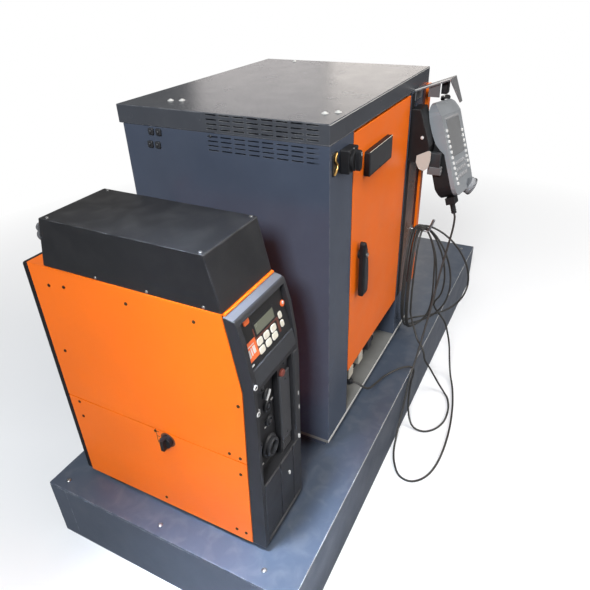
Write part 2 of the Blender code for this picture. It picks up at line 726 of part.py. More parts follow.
def make_main_switch(black, dark):
    """Square base and turning knob with a grip bar."""
    x = cabinet_left + SWITCH_X
    z = cabinet_base + SWITCH_Z
    half = SWITCH_BASE / 2.0
    face = cabinet_front - GAP
    block("main_switch_base", (x - half, face - SWITCH_BASE_PROUD, z - half),
          (x + half, face, z + half), dark, MOULDED_EDGE)
    start = face - SWITCH_BASE_PROUD - GAP
    knob = rod("main_switch_knob", SWITCH_KNOB_RADIUS, (x, start, z),
               (x, start - SWITCH_KNOB_DISC, z), black, 32)
    grip = boxes_mesh("knob grip", [((x - SWITCH_GRIP / 2.0, start - SWITCH_KNOB_PROUD,
                                      z - SWITCH_KNOB_RADIUS - SWITCH_GRIP_ROOT),
                                     (x + SWITCH_GRIP / 2.0, start - SWITCH_GRIP_ROOT,
                                      z + SWITCH_KNOB_RADIUS + SWITCH_GRIP_ROOT))])
    combine(knob, grip, "UNION")


def make_connection_bay(black, beige):
    """A sunk black panel under the door, with a row of hooded connectors."""
    left = cabinet_left + STILE_WIDTH + GAP
    right = column_left - GAP
    top = door_low - RUN - PIVOT_PLATE
    wall = cabinet_front + BAY_DEPTH
    outline = [(cabinet_front + DOOR_DEPTH + RUN, top), (cabinet_front + DOOR_DEPTH + RUN, top - BAY_SHEET),
               (wall, top - BAY_SHEET), (wall, panel_bottom), (wall + BAY_SHEET, panel_bottom),
               (wall + BAY_SHEET, top)]
    prism("connection_panel", outline, left, right, "X", black)
    rail_z = panel_bottom + HOOD_RISE
    hood_low = rail_z + HOOD_INSET
    hood_high = rail_z + HOOD_HEIGHT - HOOD_INSET
    start = cabinet_left + HOOD_FIRST
    rail_end = start + (HOOD_COUNT - 1) * HOOD_PITCH + HOOD_WIDTH / 2.0 + RAIL_END
    rail = block("connector_row", (start - HOOD_WIDTH / 2.0 - RAIL_END, wall - GAP - HOOD_RAIL, rail_z),
                 (rail_end, wall - GAP, rail_z + HOOD_HEIGHT), beige)
    hoods = []
    for index in range(HOOD_COUNT):
        x = start + index * HOOD_PITCH
        hoods.append(((x - HOOD_WIDTH / 2.0, wall - HOOD_DEPTH, hood_low),
                      (x + HOOD_WIDTH / 2.0, wall - GAP - HOOD_RAIL / 2.0, hood_high)))
    combine(rail, boxes_mesh("hoods", hoods), "UNION")
    return start, wall - HOOD_DEPTH, rail_z + HOOD_HEIGHT / 2.0


def make_inside(grey, dark, bright):
    """Mounting plate with a drive pack and a computer on it."""
    plate_y = cabinet_back - PLATE_SETBACK
    block("mounting_plate", (cabinet_left + SHEET + GAP, plate_y, panel_bottom),
          (cabinet_right - SHEET - GAP, plate_y + SHEET, cabinet_base + PLATE_TOP), bright)
    left = cabinet_left + MODULE_INSET
    low = cabinet_base + MODULE_BASE
    block("drive_pack", (left, plate_y - GAP - DRIVE_DEPTH, low),
          (left + DRIVE_WIDTH, plate_y - GAP, low + DRIVE_HEIGHT), dark, MOULDED_EDGE)
    start = left + DRIVE_WIDTH + MODULE_GAP
    block("controller_computer", (start, plate_y - GAP - COMPUTER_DEPTH, low),
          (start + COMPUTER_WIDTH, plate_y - GAP, low + COMPUTER_HEIGHT), grey, MOULDED_EDGE)


def pendant_place():
    """An empty in the middle of the pendant, turned as the pendant hangs."""
    place = bpy.data.objects.new("pendant place", None)
    station.objects.link(place)
    centre = Vector((cabinet_left + PENDANT_X, cabinet_front - PENDANT_OUT, cabinet_base + PENDANT_Z))
    place.matrix_world = (Matrix.Translation(centre) @ Matrix.Rotation(-PENDANT_TILT, 4, "X")
                          @ Matrix.Rotation(PENDANT_ROLL, 4, "Y"))
    return place


def make_pendant(place, grey, black, glass):
    """A two-shell housing with a screen and a jog disc, in its own tilted place."""
    outline = [(x, z + PENDANT_RISE) for x, z
               in rounded_rectangle(PENDANT_WIDTH, PENDANT_HEIGHT, PENDANT_CORNER)]
    disc = Vector(JOG_PLACE)
    axis = Vector(JOG_AXIS).normalized()
    shells = []
    for name, side, shade, rounding in (("pendant_housing", FRONT_SHELL, grey, FRONT_EDGE),
                                        ("pendant_back", BACK_SHELL, black, BACK_EDGE)):
        shell = prism(name, outline, -PENDANT_FACE, PENDANT_DEPTH, "Y", shade)
        combine(shell, extruded(name + " side", side, -PENDANT_WIDTH, PENDANT_WIDTH, "X"),
                "INTERSECT").object.parent = place
        pocket = rod_mesh(name + " pocket", JOG_RADIUS + GAP, disc - axis * (JOG_DEPTH + GAP),
                          disc + axis * JOG_RADIUS * 2.0, 32)
        combine(shell, pocket, "DIFFERENCE").object.parent = place
        round_edges(shell, rounding, 2)
        shells.append(shell)
    jog = rod("jog_disc", JOG_RADIUS, disc - axis * JOG_DEPTH, disc + axis * JOG_PROUD, grey, 32,
              MOULDED_EDGE)
    face = -PENDANT_FACE - GAP
    screen = prism("pendant_screen", [(x + SCREEN_X, z + SCREEN_RISE) for x, z in
                                      rounded_rectangle(SCREEN_WIDTH, SCREEN_HEIGHT, SCREEN_CORNER, 3)],
                   face - SCREEN_PROUD, face, "Y", glass)
    under = PENDANT_RISE - PENDANT_HEIGHT / 2.0 - GAP
    half = BOOT_BLOCK_WIDTH / 2.0
    deep = BOOT_BLOCK_DEPTH / 2.0
    boot = block("pendant_boot", (BOOT_X - half, -deep, under - BOOT_BLOCK), (BOOT_X + half, deep, under),
                 black)
    stem = rod_mesh("boot stem", BOOT_RADIUS, (BOOT_X, 0.0, under - BOOT_BLOCK / 2.0),
                    (BOOT_X, 0.0, under - BOOT_LENGTH), 16)
    combine(boot, stem, "UNION").object.parent = place
    for thing in (*shells, jog, screen, boot):
        thing.parent = place


def pendant_rear(height):
    """How far out the pendant's back is at a height over the cabinet's base."""
    reach = PENDANT_SEAT + GAP
    drop = (height - PENDANT_Z) * math.sin(PENDANT_TILT)
    return cabinet_front - PENDANT_OUT + (reach + drop) / math.cos(PENDANT_TILT)


def make_bracket(sheet_grey, black):
    """The bent sheet over the pendant, the holder that it leans on and the holder's lug."""
    wall = cabinet_front - GAP
    root = cabinet_base + BRACKET_ROOT_Z
    crest_y = cabinet_front - BRACKET_CREST_OUT
    crest_z = cabinet_base + BRACKET_CREST_Z
    tip_y = cabinet_front - BRACKET_TIP_OUT
    tip_z = cabinet_base + BRACKET_TIP_Z
    crest_under = crest_z - BRACKET_SHEET * 2.0
    bent = [(wall, root), (crest_y, crest_z), (tip_y, tip_z),
            (tip_y + BRACKET_SHEET, tip_z - BRACKET_SHEET / 2.0), (crest_y + BRACKET_SHEET, crest_under),
            (wall - BRACKET_SHEET, root - BRACKET_SHEET), (wall - BRACKET_SHEET, root - BRACKET_LEG),
            (wall, root - BRACKET_LEG)]
    left = cabinet_left + BRACKET_LEFT
    strap = prism("pendant_bracket", bent, left, left + BRACKET_WIDTH, "X", sheet_grey)
    slope = (BRACKET_WIDTH - BRACKET_TIP_WIDTH) / (BRACKET_CREST_Z - BRACKET_TIP_Z)
    over = TAPER_START
    below = tip_z - TAPER_MARGIN
    far = left + BRACKET_WIDTH + 2.0 * TAPER_MARGIN
    taper = [(left + BRACKET_WIDTH + slope * over, crest_z + over),
             (left + BRACKET_TIP_WIDTH - slope * TAPER_MARGIN, below), (far, below), (far, crest_z + over)]
    combine(strap, extruded("bracket taper", taper, tip_y - TAPER_MARGIN, crest_y - GAP, "Y"), "DIFFERENCE")
    low = cabinet_base + HOLDER_BASE
    high = cabinet_base + HOLDER_TOP
    nose = cabinet_front - HOLDER_NOSE
    wedge = [(wall, high), (pendant_rear(HOLDER_TOP), high),
             (pendant_rear(HOLDER_HEEL), cabinet_base + HOLDER_HEEL), (nose, low), (wall, low)]
    start = cabinet_left + HOLDER_LEFT
    prism("pendant_holder", wedge, start, start + HOLDER_WIDTH, "X", black, PLATE_EDGE)
    foot = low - GAP
    base = cabinet_base + LUG_BASE
    rear = cabinet_front - LUG_REAR
    front = cabinet_front - LUG_OUT
    lug = [(rear, foot), (nose + LUG_SEAT, foot), (front, cabinet_base + LUG_TOP),
           (front, base), (rear - LUG_CHAMFER, base), (rear, base + LUG_CHAMFER)]
    start = cabinet_left + LUG_LEFT
    prism("pendant_lug", lug, start, start + LUG_WIDTH, "X", sheet_grey, FINE_EDGE)


def coil_point(angle, centre_z, half_height):
    """A point on the middle line of the hanging coil; angle 0 is the top."""
    reach = COIL_RIGHT if math.sin(angle) > 0.0 else COIL_LEFT
    across = reach * math.sin(angle) * (1.0 - COIL_SAG * math.cos(angle))
    bend = math.tanh(across / COIL_BEND)
    x = cabinet_left + HOOK_X + across * (COIL_ALONG[0] - COIL_ALONG[1] * bend)
    y = cabinet_front - COIL_OUT - across * (COIL_FORWARD[0] + COIL_FORWARD[1] * bend)
    return Vector((x, y, centre_z + half_height * math.cos(angle)))


def coil_side(angle, direction, centre_z, half_height):
    """The coil's surface on the side that a direction points to, and the way out from there."""
    middle = coil_point(angle, centre_z, half_height)
    run = coil_point(angle + 0.01, centre_z, half_height) - middle
    run.normalize()
    direction = Vector(direction)
    away = direction - run * direction.dot(run)
    away.normalize()
    return middle + away * COIL_THICKNESS / 2.0, away


def make_hook(bright):
    """A bent rod that the coil hangs on."""
    x = cabinet_left + HOOK_X
    wall = cabinet_front - GAP
    level = cabinet_base + HOOK_Z
    bend = wall - HOOK_REACH
    tip = Vector((x, cabinet_front - HOOK_TIP_OUT, cabinet_base + HOOK_TIP_Z))
    places = [Vector((x, wall, level)), Vector((x, bend, level)),
              Vector((x, bend - HOOK_BEND, level + HOOK_BEND)), tip]
    tube("cable_hook", places, HOOK_RADIUS, bright)


def laid(route, ends_before, ends_after):
    """A cable's points: its two ends and the route between, never under the floor."""
    floor = CABLE_RADIUS + GAP
    middle = [Vector((cabinet_left + x / 1000.0, cabinet_front + y / 1000.0, cabinet_base + z / 1000.0))
              for x, y, z in route]
    smooth = smooth_route(ends_before + middle + ends_after, ROUTE_SPACING)
    return [Vector((point.x, point.y, max(point.z, floor))) for point in smooth]


def make_cable(place, cable, black, plug_place):
    """The coil on the hook and the two free stretches of the pendant's cable."""
    radius = COIL_THICKNESS / 2.0
    top = cabinet_base + HOOK_Z + HOOK_RADIUS + COIL_SEAT + radius
    bottom = PLINTH_HEIGHT + COIL_BOTTOM + radius
    centre = (top + bottom) / 2.0
    half = (top - bottom) / 2.0
    ring = [coil_point(2.0 * math.pi * step / COIL_POINTS, centre, half) for step in range(COIL_POINTS)]
    tube("pendant_cable_coil", ring, radius, cable, 3, closed=True)
    under = PENDANT_RISE - PENDANT_HEIGHT / 2.0 - BOOT_LENGTH
    start = place.matrix_world @ Vector((BOOT_X, 0.0, under - 2.0 * GAP))
    down = place.matrix_world.to_3x3() @ Vector((0.0, 0.0, -1.0))
    joint, away = coil_side(COIL_ARRIVAL, ARRIVAL_SIDE, centre, half)
    tube("pendant_cable_upper", laid(UPPER_ROUTE, [start, start + down * STRAIGHT_LEAD],
                                     [joint + away * COIL_LEAD, joint + away * COIL_TOUCH]),
         CABLE_RADIUS, cable)
    leave, out = coil_side(COIL_LEAVING, LEAVING_SIDE, centre, half)
    plug_end = Vector(plug_place) - Vector((0.0, PLUG_LENGTH + GAP, 0.0))
    lead = Vector((0.0, STRAIGHT_LEAD, 0.0))
    tube("pendant_cable_lower", laid(LOWER_ROUTE, [leave + out * COIL_TOUCH, leave + out * COIL_LEAD],
                                     [plug_end - lead * 2.0, plug_end - lead, plug_end]),
         CABLE_RADIUS, cable)
    rod("cable_plug", PLUG_RADIUS, (plug_place[0], plug_place[1] - GAP, plug_place[2]),
        (plug_place[0], plug_place[1] - PLUG_LENGTH, plug_place[2]), black, 16)


for thing in list(bpy.data.objects):
    bpy.data.objects.remove(thing)
station = bpy.data.collections.new("Robot welding control station")
cutters = bpy.data.collections.new("Cutters")
bpy.context.scene.collection.children.link(station)
bpy.context.scene.collection.children.link(cutters)

plinth_paint = material("plinth paint", (0.095, 0.107, 0.130), 0.45)
cabinet_paint = material("cabinet paint", (0.055, 0.060, 0.068), 0.45)
lid_paint = material("lid paint", (0.065, 0.070, 0.078), 0.35)
orange_paint = material("orange paint", (0.830, 0.170, 0.018), 0.40)
black_plastic = material("black plastic", (0.012, 0.012, 0.013), 0.45)
dark_metal = material("dark metal", (0.030, 0.032, 0.036), 0.50)
grey_plastic = material("grey plastic", (0.230, 0.240, 0.255), 0.45)
beige_plastic = material("beige plastic", (0.560, 0.520, 0.430), 0.50)
bright_metal = material("bright metal", (0.600, 0.600, 0.610), 0.35, 1.0)
sheet_grey = material("grey sheet", (0.380, 0.390, 0.400), 0.40)
screen_glass = material("screen glass", (0.050, 0.060, 0.070), 0.15)
cable_jacket = material("cable jacket", (0.110, 0.105, 0.095), 0.60)

make_plinth(plinth_paint)
make_power_source(orange_paint, black_plastic, dark_metal)
make_cabinet(cabinet_paint, lid_paint, bright_metal, orange_paint)
make_door(orange_paint, black_plastic, bright_metal)
make_main_switch(black_plastic, dark_metal)
plug_place = make_connection_bay(black_plastic, beige_plastic)
make_inside(grey_plastic, dark_metal, bright_metal)
hanging = pendant_place()
make_pendant(hanging, grey_plastic, black_plastic, screen_glass)
make_bracket(sheet_grey, black_plastic)
bpy.context.view_layer.update()
make_hook(bright_metal)
make_cable(hanging, cable_jacket, black_plastic, plug_place)
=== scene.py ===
"""Looks of the robot welding control station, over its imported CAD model."""
import math

import bmesh
import bpy
from mathutils import Matrix, Vector


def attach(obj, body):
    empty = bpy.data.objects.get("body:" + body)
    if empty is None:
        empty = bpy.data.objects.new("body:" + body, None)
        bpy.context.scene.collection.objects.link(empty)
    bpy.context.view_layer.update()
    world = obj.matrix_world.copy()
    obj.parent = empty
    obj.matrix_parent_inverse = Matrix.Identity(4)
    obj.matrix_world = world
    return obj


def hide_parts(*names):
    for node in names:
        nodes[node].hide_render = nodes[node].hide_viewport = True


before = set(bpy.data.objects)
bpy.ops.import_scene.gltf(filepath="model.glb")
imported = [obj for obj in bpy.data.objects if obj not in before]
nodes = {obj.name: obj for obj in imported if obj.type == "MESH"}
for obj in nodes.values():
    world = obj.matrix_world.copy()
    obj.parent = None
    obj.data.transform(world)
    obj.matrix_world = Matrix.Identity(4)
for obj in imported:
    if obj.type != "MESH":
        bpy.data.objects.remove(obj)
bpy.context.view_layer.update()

# The cabinet's lower front left corner, from which details are given in millimetres
CORNER = Vector((-0.5665, -0.288, 0.250))


def at(x, y, z):
    """A place in metres, from millimetres right of, behind and above the cabinet's corner."""
    return CORNER + Vector((x, y, z)) / 1000.0


# Camera, as fitted to the photograph's straight edges
LENS_LENGTH = 33.130
SENSOR_WIDTH = 36.0
CAMERA_PLACE = (-1.63616, -0.76212, 1.48966)
CAMERA_ANGLES = (58.6523, 1.6136, -62.8835)

lens = bpy.data.cameras.new("camera")
lens.lens = LENS_LENGTH
lens.sensor_width = SENSOR_WIDTH
camera = bpy.data.objects.new("camera", lens)
bpy.context.scene.collection.objects.link(camera)
camera.location = CAMERA_PLACE
camera.rotation_euler = [math.radians(angle) for angle in CAMERA_ANGLES]
bpy.context.scene.camera = camera


# The pendant's cable, in millimetres from the same corner: down from the pendant, over the plinth
# and along the floor to the coil, then from the coil to the floor and back to the connectors
CABLE_RADIUS = 3.5
FLOOR = -246.2
UPPER_ROUTE = ((676, -160, 458), (668, -153, 395), (645, -145, 315), (612, -138, 225), (592, -135, 172),
               (564, -130, 112), (515, -123, 20), (476, -120, -22), (450, -119, -52), (418, -118, -110),
               (378, -118, -180), (330, -121, -228), (288, -128, -246), (235, -146, -246),
               (185, -180, -246), (180, -226, -246), (228, -266, -246), (320, -284, -246),
               (455, -282, -246), (590, -264, -246), (700, -238, -246), (775, -210, -236),
               (814, -192, -190), (822, -182, -130), (821, -168, -70), (813, -150, -12))
LOWER_ROUTE = ((652, -84, -12), (630, -106, -20), (616, -123, -42), (618, -131, -78), (640, -148, -125),
               (662, -168, -180), (672, -190, -225), (660, -214, -245), (628, -236, -246),
               (570, -252, -246), (500, -252, -246), (448, -232, -246), (418, -198, -246),
               (420, -160, -244), (440, -136, -225), (458, -122, -170), (478, -118, -100),
               (492, -121, -58), (496, -119, -36), (486, -107, -22), (458, -76, -21), (400, -44, -21),
               (330, -38, 2), (262, -32, 24), (222, -26, 58))
PLUG_REACH = ((215, -9, 73), (215, 4, 73), (215, 16, 73))

# In the pendant's own millimetres: where the cable leaves its boot, and how far it then runs straight
BOOT_END = (-88.0, 0.0, -204.6)
STRAIGHT_LEAD = 12.0

# In metres: the distance between the cable's points
CORD_SPACING = 0.012

# The pendant's middle, its tilt and its turn in its plane
PENDANT_MIDDLE = (785.0, -95.0, 695.0)
PENDANT_TILT = -19.0
PENDANT_TURN = 7.0

# The coil: where its turns cross over the hook, and how far each pass hangs out and down
HOOK = (735.0, -36.0, 416.0)
PASSES_RIGHT = (115.0, 200.0, 135.0, 84.0, 74.0)
PASSES_LEFT = (96.0, 102.0, 92.0, 106.0, 84.0)
PASSES_LOW = (10.0, -8.0, -14.0, -6.0, 22.0)
LAST_PASS = len(PASSES_LOW) - 1
TURN_PITCH = 8.4
MIDDLE_TURN = 2.38
TURN_SAG = 0.22
TURN_BEND = 24.0
BLUNT_REACH = 0.78
COIL_START = math.pi - 0.75
COIL_END = -(math.pi - 0.75) - 8.0 * math.pi
COIL_STEPS = 96

# The bent curtain that the turns hang in: how far out it bends, and its run to the right and forward,
# each straight and by the bend
CURTAIN_BEND = 80.0
CURTAIN_RIGHT = (0.70, 0.28)
CURTAIN_FORWARD = (0.46, 0.445)


def on_curtain(across):
    """Where the curtain stands on plan at a distance across from the hook."""
    bend = math.tanh(across / CURTAIN_BEND)
    return (HOOK[0] + across * (CURTAIN_RIGHT[0] - CURTAIN_RIGHT[1] * bend),
            HOOK[1] - across * (CURTAIN_FORWARD[0] + CURTAIN_FORWARD[1] * bend))


def across_hook(across, offset, z):
    """A place across from the hook, some way off the curtain."""
    x, y = on_curtain(across)
    next_x, next_y = on_curtain(across + 1.0)
    run = Vector((next_x - x, next_y - y)).normalized()
    return Vector((x + offset * run.y, y - offset * run.x, z))


def coil_places():
    """The turns of the coil, from its right-hand lower side over the hook and round."""
    places = []
    for step in range(COIL_STEPS + 1):
        angle = COIL_START + (COIL_END - COIL_START) * step / COIL_STEPS
        index = min(LAST_PASS, int((math.pi - angle) / (2.0 * math.pi)))
        if math.sin(angle) > 0.0:
            reach = PASSES_RIGHT[index]
            bottom = PASSES_LOW[max(0, index - 1)]
        else:
            reach = PASSES_LEFT[index]
            bottom = PASSES_LOW[index]
        half = (HOOK[2] - bottom) / 2.0
        across = reach * math.sin(angle) * (1.0 - TURN_SAG * math.cos(angle))
        offset = TURN_PITCH * ((COIL_START - angle) / (2.0 * math.pi) - MIDDLE_TURN)
        blunt = min(1.0, (BLUNT_REACH * reach) ** 2 / (TURN_BEND * half))
        rise = math.copysign(abs(math.cos(angle)) ** blunt, math.cos(angle))
        places.append(across_hook(across, offset, bottom + half + half * rise))
    return places


def smooth(places, spacing):
    """Points along a smooth curve through places, about one spacing apart."""
    ends = [places[0] * 2.0 - places[1], *places, places[-1] * 2.0 - places[-2]]
    route = []
    for index in range(1, len(ends) - 2):
        before, start, end, after = ends[index - 1:index + 3]
        steps = max(1, round((end - start).length / spacing))
        for step in range(steps):
            t = step / steps
            route.append((start * 2.0 + (end - before) * t
                          + (before * 2.0 - start * 5.0 + end * 4.0 - after) * t * t
                          + (start * 3.0 - before - end * 3.0 + after) * t * t * t) / 2.0)
    route.append(places[-1])
    return route


# From the pendant's own millimetres to the scene
pendant_place = (Matrix.Translation(at(*PENDANT_MIDDLE))
                 @ Matrix.Rotation(math.radians(PENDANT_TILT), 4, "X")
                 @ Matrix.Rotation(math.radians(PENDANT_TURN), 4, "Y") @ Matrix.Scale(0.001, 4))

cord_exit = pendant_place @ Vector(BOOT_END)
cord_second = pendant_place @ Vector((BOOT_END[0], BOOT_END[1], BOOT_END[2] - STRAIGHT_LEAD))
cord_places = [cord_exit, cord_second, *[at(*place) for place in UPPER_ROUTE],
               *[at(*place) for place in coil_places()],
               *[at(*place) for place in LOWER_ROUTE + PLUG_REACH]]
lowest = at(0.0, 0.0, FLOOR).z
cord_route = [Vector((point.x, point.y, max(point.z, lowest)))
              for point in smooth(cord_places, CORD_SPACING)]
cord_line = bpy.data.curves.new("pendant_cord", "CURVE")
cord_line.dimensions = "3D"
cord_line.bevel_depth = 1.0  # times each point's radius, which also widens the curve's box
cord_line.bevel_resolution = 3
cord_line.use_fill_caps = True
strand = cord_line.splines.new("POLY")
strand.points.add(len(cord_route) - 1)
for knot, point in zip(strand.points, cord_route):
    knot.co = (*point, 1.0)
    knot.radius = CABLE_RADIUS / 1000.0
strand.use_smooth = True
cord = bpy.data.objects.new("pendant_cord", cord_line)
bpy.context.scene.collection.objects.link(cord)
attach(cord, "station")
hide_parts("pendant_cable_upper", "pendant_cable_coil", "pendant_cable_lower")


# How paint, plastic and metal vary: noise scale, detail, its two levels and distortion
CLOUDS = (7.0, 5.0, 0.3, 0.7)
SPECKS = (85.0, 4.0, 0.35, 0.65)
DRIFTS = (24.0, 8.0, 0.46, 0.80, 0.6)
RUBBED = (38.0, 5.0, 0.42, 0.58)
GLOSS_CLOUDS = (14.0, 5.0, 0.3, 0.7)
METAL_STREAKS = (14.0, 6.0, 0.3, 0.7)
METAL_CLOUDS = (16.0, 4.0, 0.35, 0.65)
SPECK_AMOUNT = 0.20
STREAK_AMOUNT = 0.35
EDGE_WIDTH = 0.0016
EDGE_BENDS = (0.995, 0.90)
DUST_BY_SLOPE = {"_1": -0.2, "_2": 0.9, "_3": 0.25, "_4": 1.0}
GLOSS_SPREAD = (0.14, 0.18)
METAL_GLOSS = (0.75, 1.3)
METAL_STRETCH = (1.0, 60.0, 60.0)
METAL_TONE = 0.25
METAL_DEPTH = 0.00008
WAVE_LENGTH = 12.0
WAVE_STRENGTH = 0.18
GRAIN_STRENGTH = 0.6
SMALL_GRAIN = 1400.0
SMALL_DEPTH = 0.00006
SMALL_TONE = 0.08


def tree_of(name, colour, roughness, metallic=0.0):
    """A new node material, its tree and its surface shader."""
    shade = bpy.data.materials.new(name)
    shade.use_nodes = True
    tree = shade.node_tree
    surface = tree.nodes["Principled BSDF"]
    surface.inputs["Base Color"].default_value = (*colour, 1.0)
    surface.inputs["Roughness"].default_value = roughness
    surface.inputs["Metallic"].default_value = metallic
    return shade, tree, surface


def node(tree, kind, settings=(), **inputs):
    """A node with its properties and input values; an input may be another node's output."""
    made = tree.nodes.new("ShaderNode" + kind)
    for name, value in dict(settings).items():
        setattr(made, name, value)
    for name, value in inputs.items():
        socket = made.inputs[int(name[1:])] if name[0] == "_" else made.inputs[name.replace("_", " ")]
        if isinstance(value, bpy.types.NodeSocket):
            tree.links.new(value, socket)
        else:
            socket.default_value = value
    return made


def place_of(tree, stretch=(1.0, 1.0, 1.0)):
    """The piece's own coordinates in metres, stretched."""
    here = node(tree, "TexCoord").outputs["Object"]
    return node(tree, "Mapping", _0=here, Scale=stretch).outputs[0]


def spots(tree, place, scale, detail, low, high, distortion=0.0):
    """Noise, spread between two of its levels."""
    noise = node(tree, "TexNoise", Vector=place, Scale=scale, Detail=detail, Distortion=distortion)
    return node(tree, "MapRange", _0=noise.outputs[0], _1=low, _2=high).outputs[0]


def blend(tree, amount, first, second):
    """A colour between two, by an amount."""
    mixed = node(tree, "Mix", {"data_type": "RGBA"}, _0=amount)
    for slot, value in ((6, first), (7, second)):
        if isinstance(value, bpy.types.NodeSocket):
            tree.links.new(value, mixed.inputs[slot])
        else:
            mixed.inputs[slot].default_value = (*value, 1.0)
    return mixed.outputs[2]


def times(tree, first, second):
    """One number times another."""
    return node(tree, "Math", {"operation": "MULTIPLY"}, _0=first, _1=second).outputs[0]


def edges(tree, spread):
    """How close a point is to a sharp edge, roughened by a noise."""
    bevel = node(tree, "Bevel", {"samples": 4}, Radius=EDGE_WIDTH)
    flat = node(tree, "NewGeometry").outputs["Normal"]
    along = node(tree, "VectorMath", {"operation": "DOT_PRODUCT"}, _0=bevel.outputs[0], _1=flat)
    near = node(tree, "MapRange", _0=along.outputs["Value"], _1=EDGE_BENDS[0], _2=EDGE_BENDS[1])
    return times(tree, near.outputs[0], spread)


def bumped(tree, surface, *layers):
    """Puts layers of (height, strength, depth) on a shader's normal."""
    normal = None
    for height, strength, depth in layers:
        bump = node(tree, "Bump", Height=height, Strength=strength, Distance=depth)
        if normal is not None:
            tree.links.new(normal, bump.inputs["Normal"])
        normal = bump.outputs[0]
    tree.links.new(normal, surface.inputs["Normal"])


def coated(name, colour, roughness, grain, depth, tone, wear=None, wear_amount=0.0,
           dust=None, dust_amount=0.0, metallic=0.0, uneven=1.0):
    """Painted or moulded surface: cloudy tone, fine texture, uneven gloss, worn edges and dust."""
    shade, tree, surface = tree_of(name, colour, roughness, metallic)
    place = place_of(tree)
    darker = tuple(part * (1.0 - tone) for part in colour)
    lighter = tuple(min(1.0, part * (1.0 + tone)) for part in colour)
    paint = blend(tree, spots(tree, place, *CLOUDS), darker, lighter)
    paint = blend(tree, times(tree, spots(tree, place, *SPECKS), SPECK_AMOUNT), paint, darker)
    if dust:
        drift = times(tree, spots(tree, place, *DRIFTS), dust_amount)
        up = node(tree, "SeparateXYZ", _0=node(tree, "NewGeometry").outputs["Normal"]).outputs["Z"]
        facing = node(tree, "MapRange", _0=up, **DUST_BY_SLOPE).outputs[0]
        paint = blend(tree, times(tree, drift, facing), paint, dust)
    if wear:
        rub = edges(tree, spots(tree, place, *RUBBED))
        paint = blend(tree, times(tree, rub, wear_amount), paint, wear)
    tree.links.new(paint, surface.inputs["Base Color"])
    glossy = roughness * (1.0 - GLOSS_SPREAD[0] * uneven)
    matt = min(1.0, roughness * (1.0 + GLOSS_SPREAD[1] * uneven))
    gloss = node(tree, "MapRange", _0=spots(tree, place, *GLOSS_CLOUDS), _3=glossy, _4=matt).outputs[0]
    tree.links.new(gloss, surface.inputs["Roughness"])
    orange_peel = node(tree, "TexNoise", Vector=place, Scale=grain, Detail=2.0).outputs[0]
    waves = node(tree, "TexNoise", Vector=place, Scale=grain / WAVE_LENGTH, Detail=2.0).outputs[0]
    bumped(tree, surface, (waves, WAVE_STRENGTH * uneven, depth * 2.0),
           (orange_peel, GRAIN_STRENGTH, depth))
    return shade


def bare_metal(name, colour, roughness):
    """Plated or brushed sheet: fine streaks along one way, and blotches."""
    shade, tree, surface = tree_of(name, colour, roughness, 1.0)
    place = place_of(tree)
    streaks = spots(tree, place_of(tree, METAL_STRETCH), *METAL_STREAKS)
    clouds = spots(tree, place, *METAL_CLOUDS)
    darker = tuple(part * (1.0 - METAL_TONE) for part in colour)
    metal = blend(tree, clouds, darker, colour)
    metal = blend(tree, times(tree, streaks, STREAK_AMOUNT), metal, darker)
    tree.links.new(metal, surface.inputs["Base Color"])
    gloss = node(tree, "MapRange", _0=streaks, _3=roughness * METAL_GLOSS[0],
                 _4=roughness * METAL_GLOSS[1]).outputs[0]
    tree.links.new(gloss, surface.inputs["Roughness"])
    bumped(tree, surface, (streaks, 0.25, METAL_DEPTH))
    return shade


def plain(name, colour, roughness, metallic=0.0):
    """A small part's finish: slight tone changes and a fine grain."""
    return coated(name, colour, roughness, SMALL_GRAIN, SMALL_DEPTH, SMALL_TONE, metallic=metallic)


def dress(shade, *names):
    """Gives CAD nodes a material."""
    for name in names:
        mesh = nodes[name].data
        mesh.materials.clear()
        mesh.materials.append(shade)


# Finishes of the large parts: colour, roughness, grain, its depth, and how much the tone varies
plinth_paint = coated("plinth paint", (0.056, 0.071, 0.098), 0.32, 700.0, 0.00014, 0.07,
                      wear=(0.46, 0.47, 0.49), wear_amount=0.85, dust=(0.26, 0.26, 0.26), dust_amount=0.16)
cabinet_paint = coated("cabinet paint", (0.056, 0.069, 0.098), 0.20, 1100.0, 0.00010, 0.07,
                       wear=(0.30, 0.30, 0.31), wear_amount=0.35, dust=(0.22, 0.22, 0.22), dust_amount=0.05)
lid_paint = coated("lid paint", (0.054, 0.058, 0.067), 0.26, 1100.0, 0.00014, 0.07,
                   wear=(0.42, 0.42, 0.42), wear_amount=0.6, dust=(0.34, 0.33, 0.31), dust_amount=0.07,
                   uneven=0.35)
orange_paint = coated("orange paint", (0.860, 0.154, 0.004), 0.33, 1000.0, 0.00010, 0.04,
                      wear=(0.55, 0.13, 0.02), wear_amount=0.5, dust=(0.50, 0.22, 0.08), dust_amount=0.05)
black_plastic = coated("black plastic", (0.009, 0.009, 0.010), 0.46, 1300.0, 0.00012, 0.12,
                       wear=(0.08, 0.08, 0.08), wear_amount=0.5, dust=(0.14, 0.135, 0.13), dust_amount=0.06)
black_plastic.node_tree.nodes["Principled BSDF"].inputs["Specular IOR Level"].default_value = 0.24
bezel_plastic = coated("bezel plastic", (0.017, 0.017, 0.019), 0.44, 1300.0, 0.00014, 0.10,
                       wear=(0.12, 0.12, 0.12), wear_amount=0.4, dust=(0.14, 0.135, 0.13), dust_amount=0.05)
box_paint = coated("interface box paint", (0.012, 0.012, 0.013), 0.36, 1100.0, 0.00016, 0.10,
                   wear=(0.22, 0.22, 0.23), wear_amount=0.6, dust=(0.20, 0.195, 0.19), dust_amount=0.10)
dark_metal = coated("dark metal", (0.030, 0.032, 0.036), 0.50, 1000.0, 0.00014, 0.10)
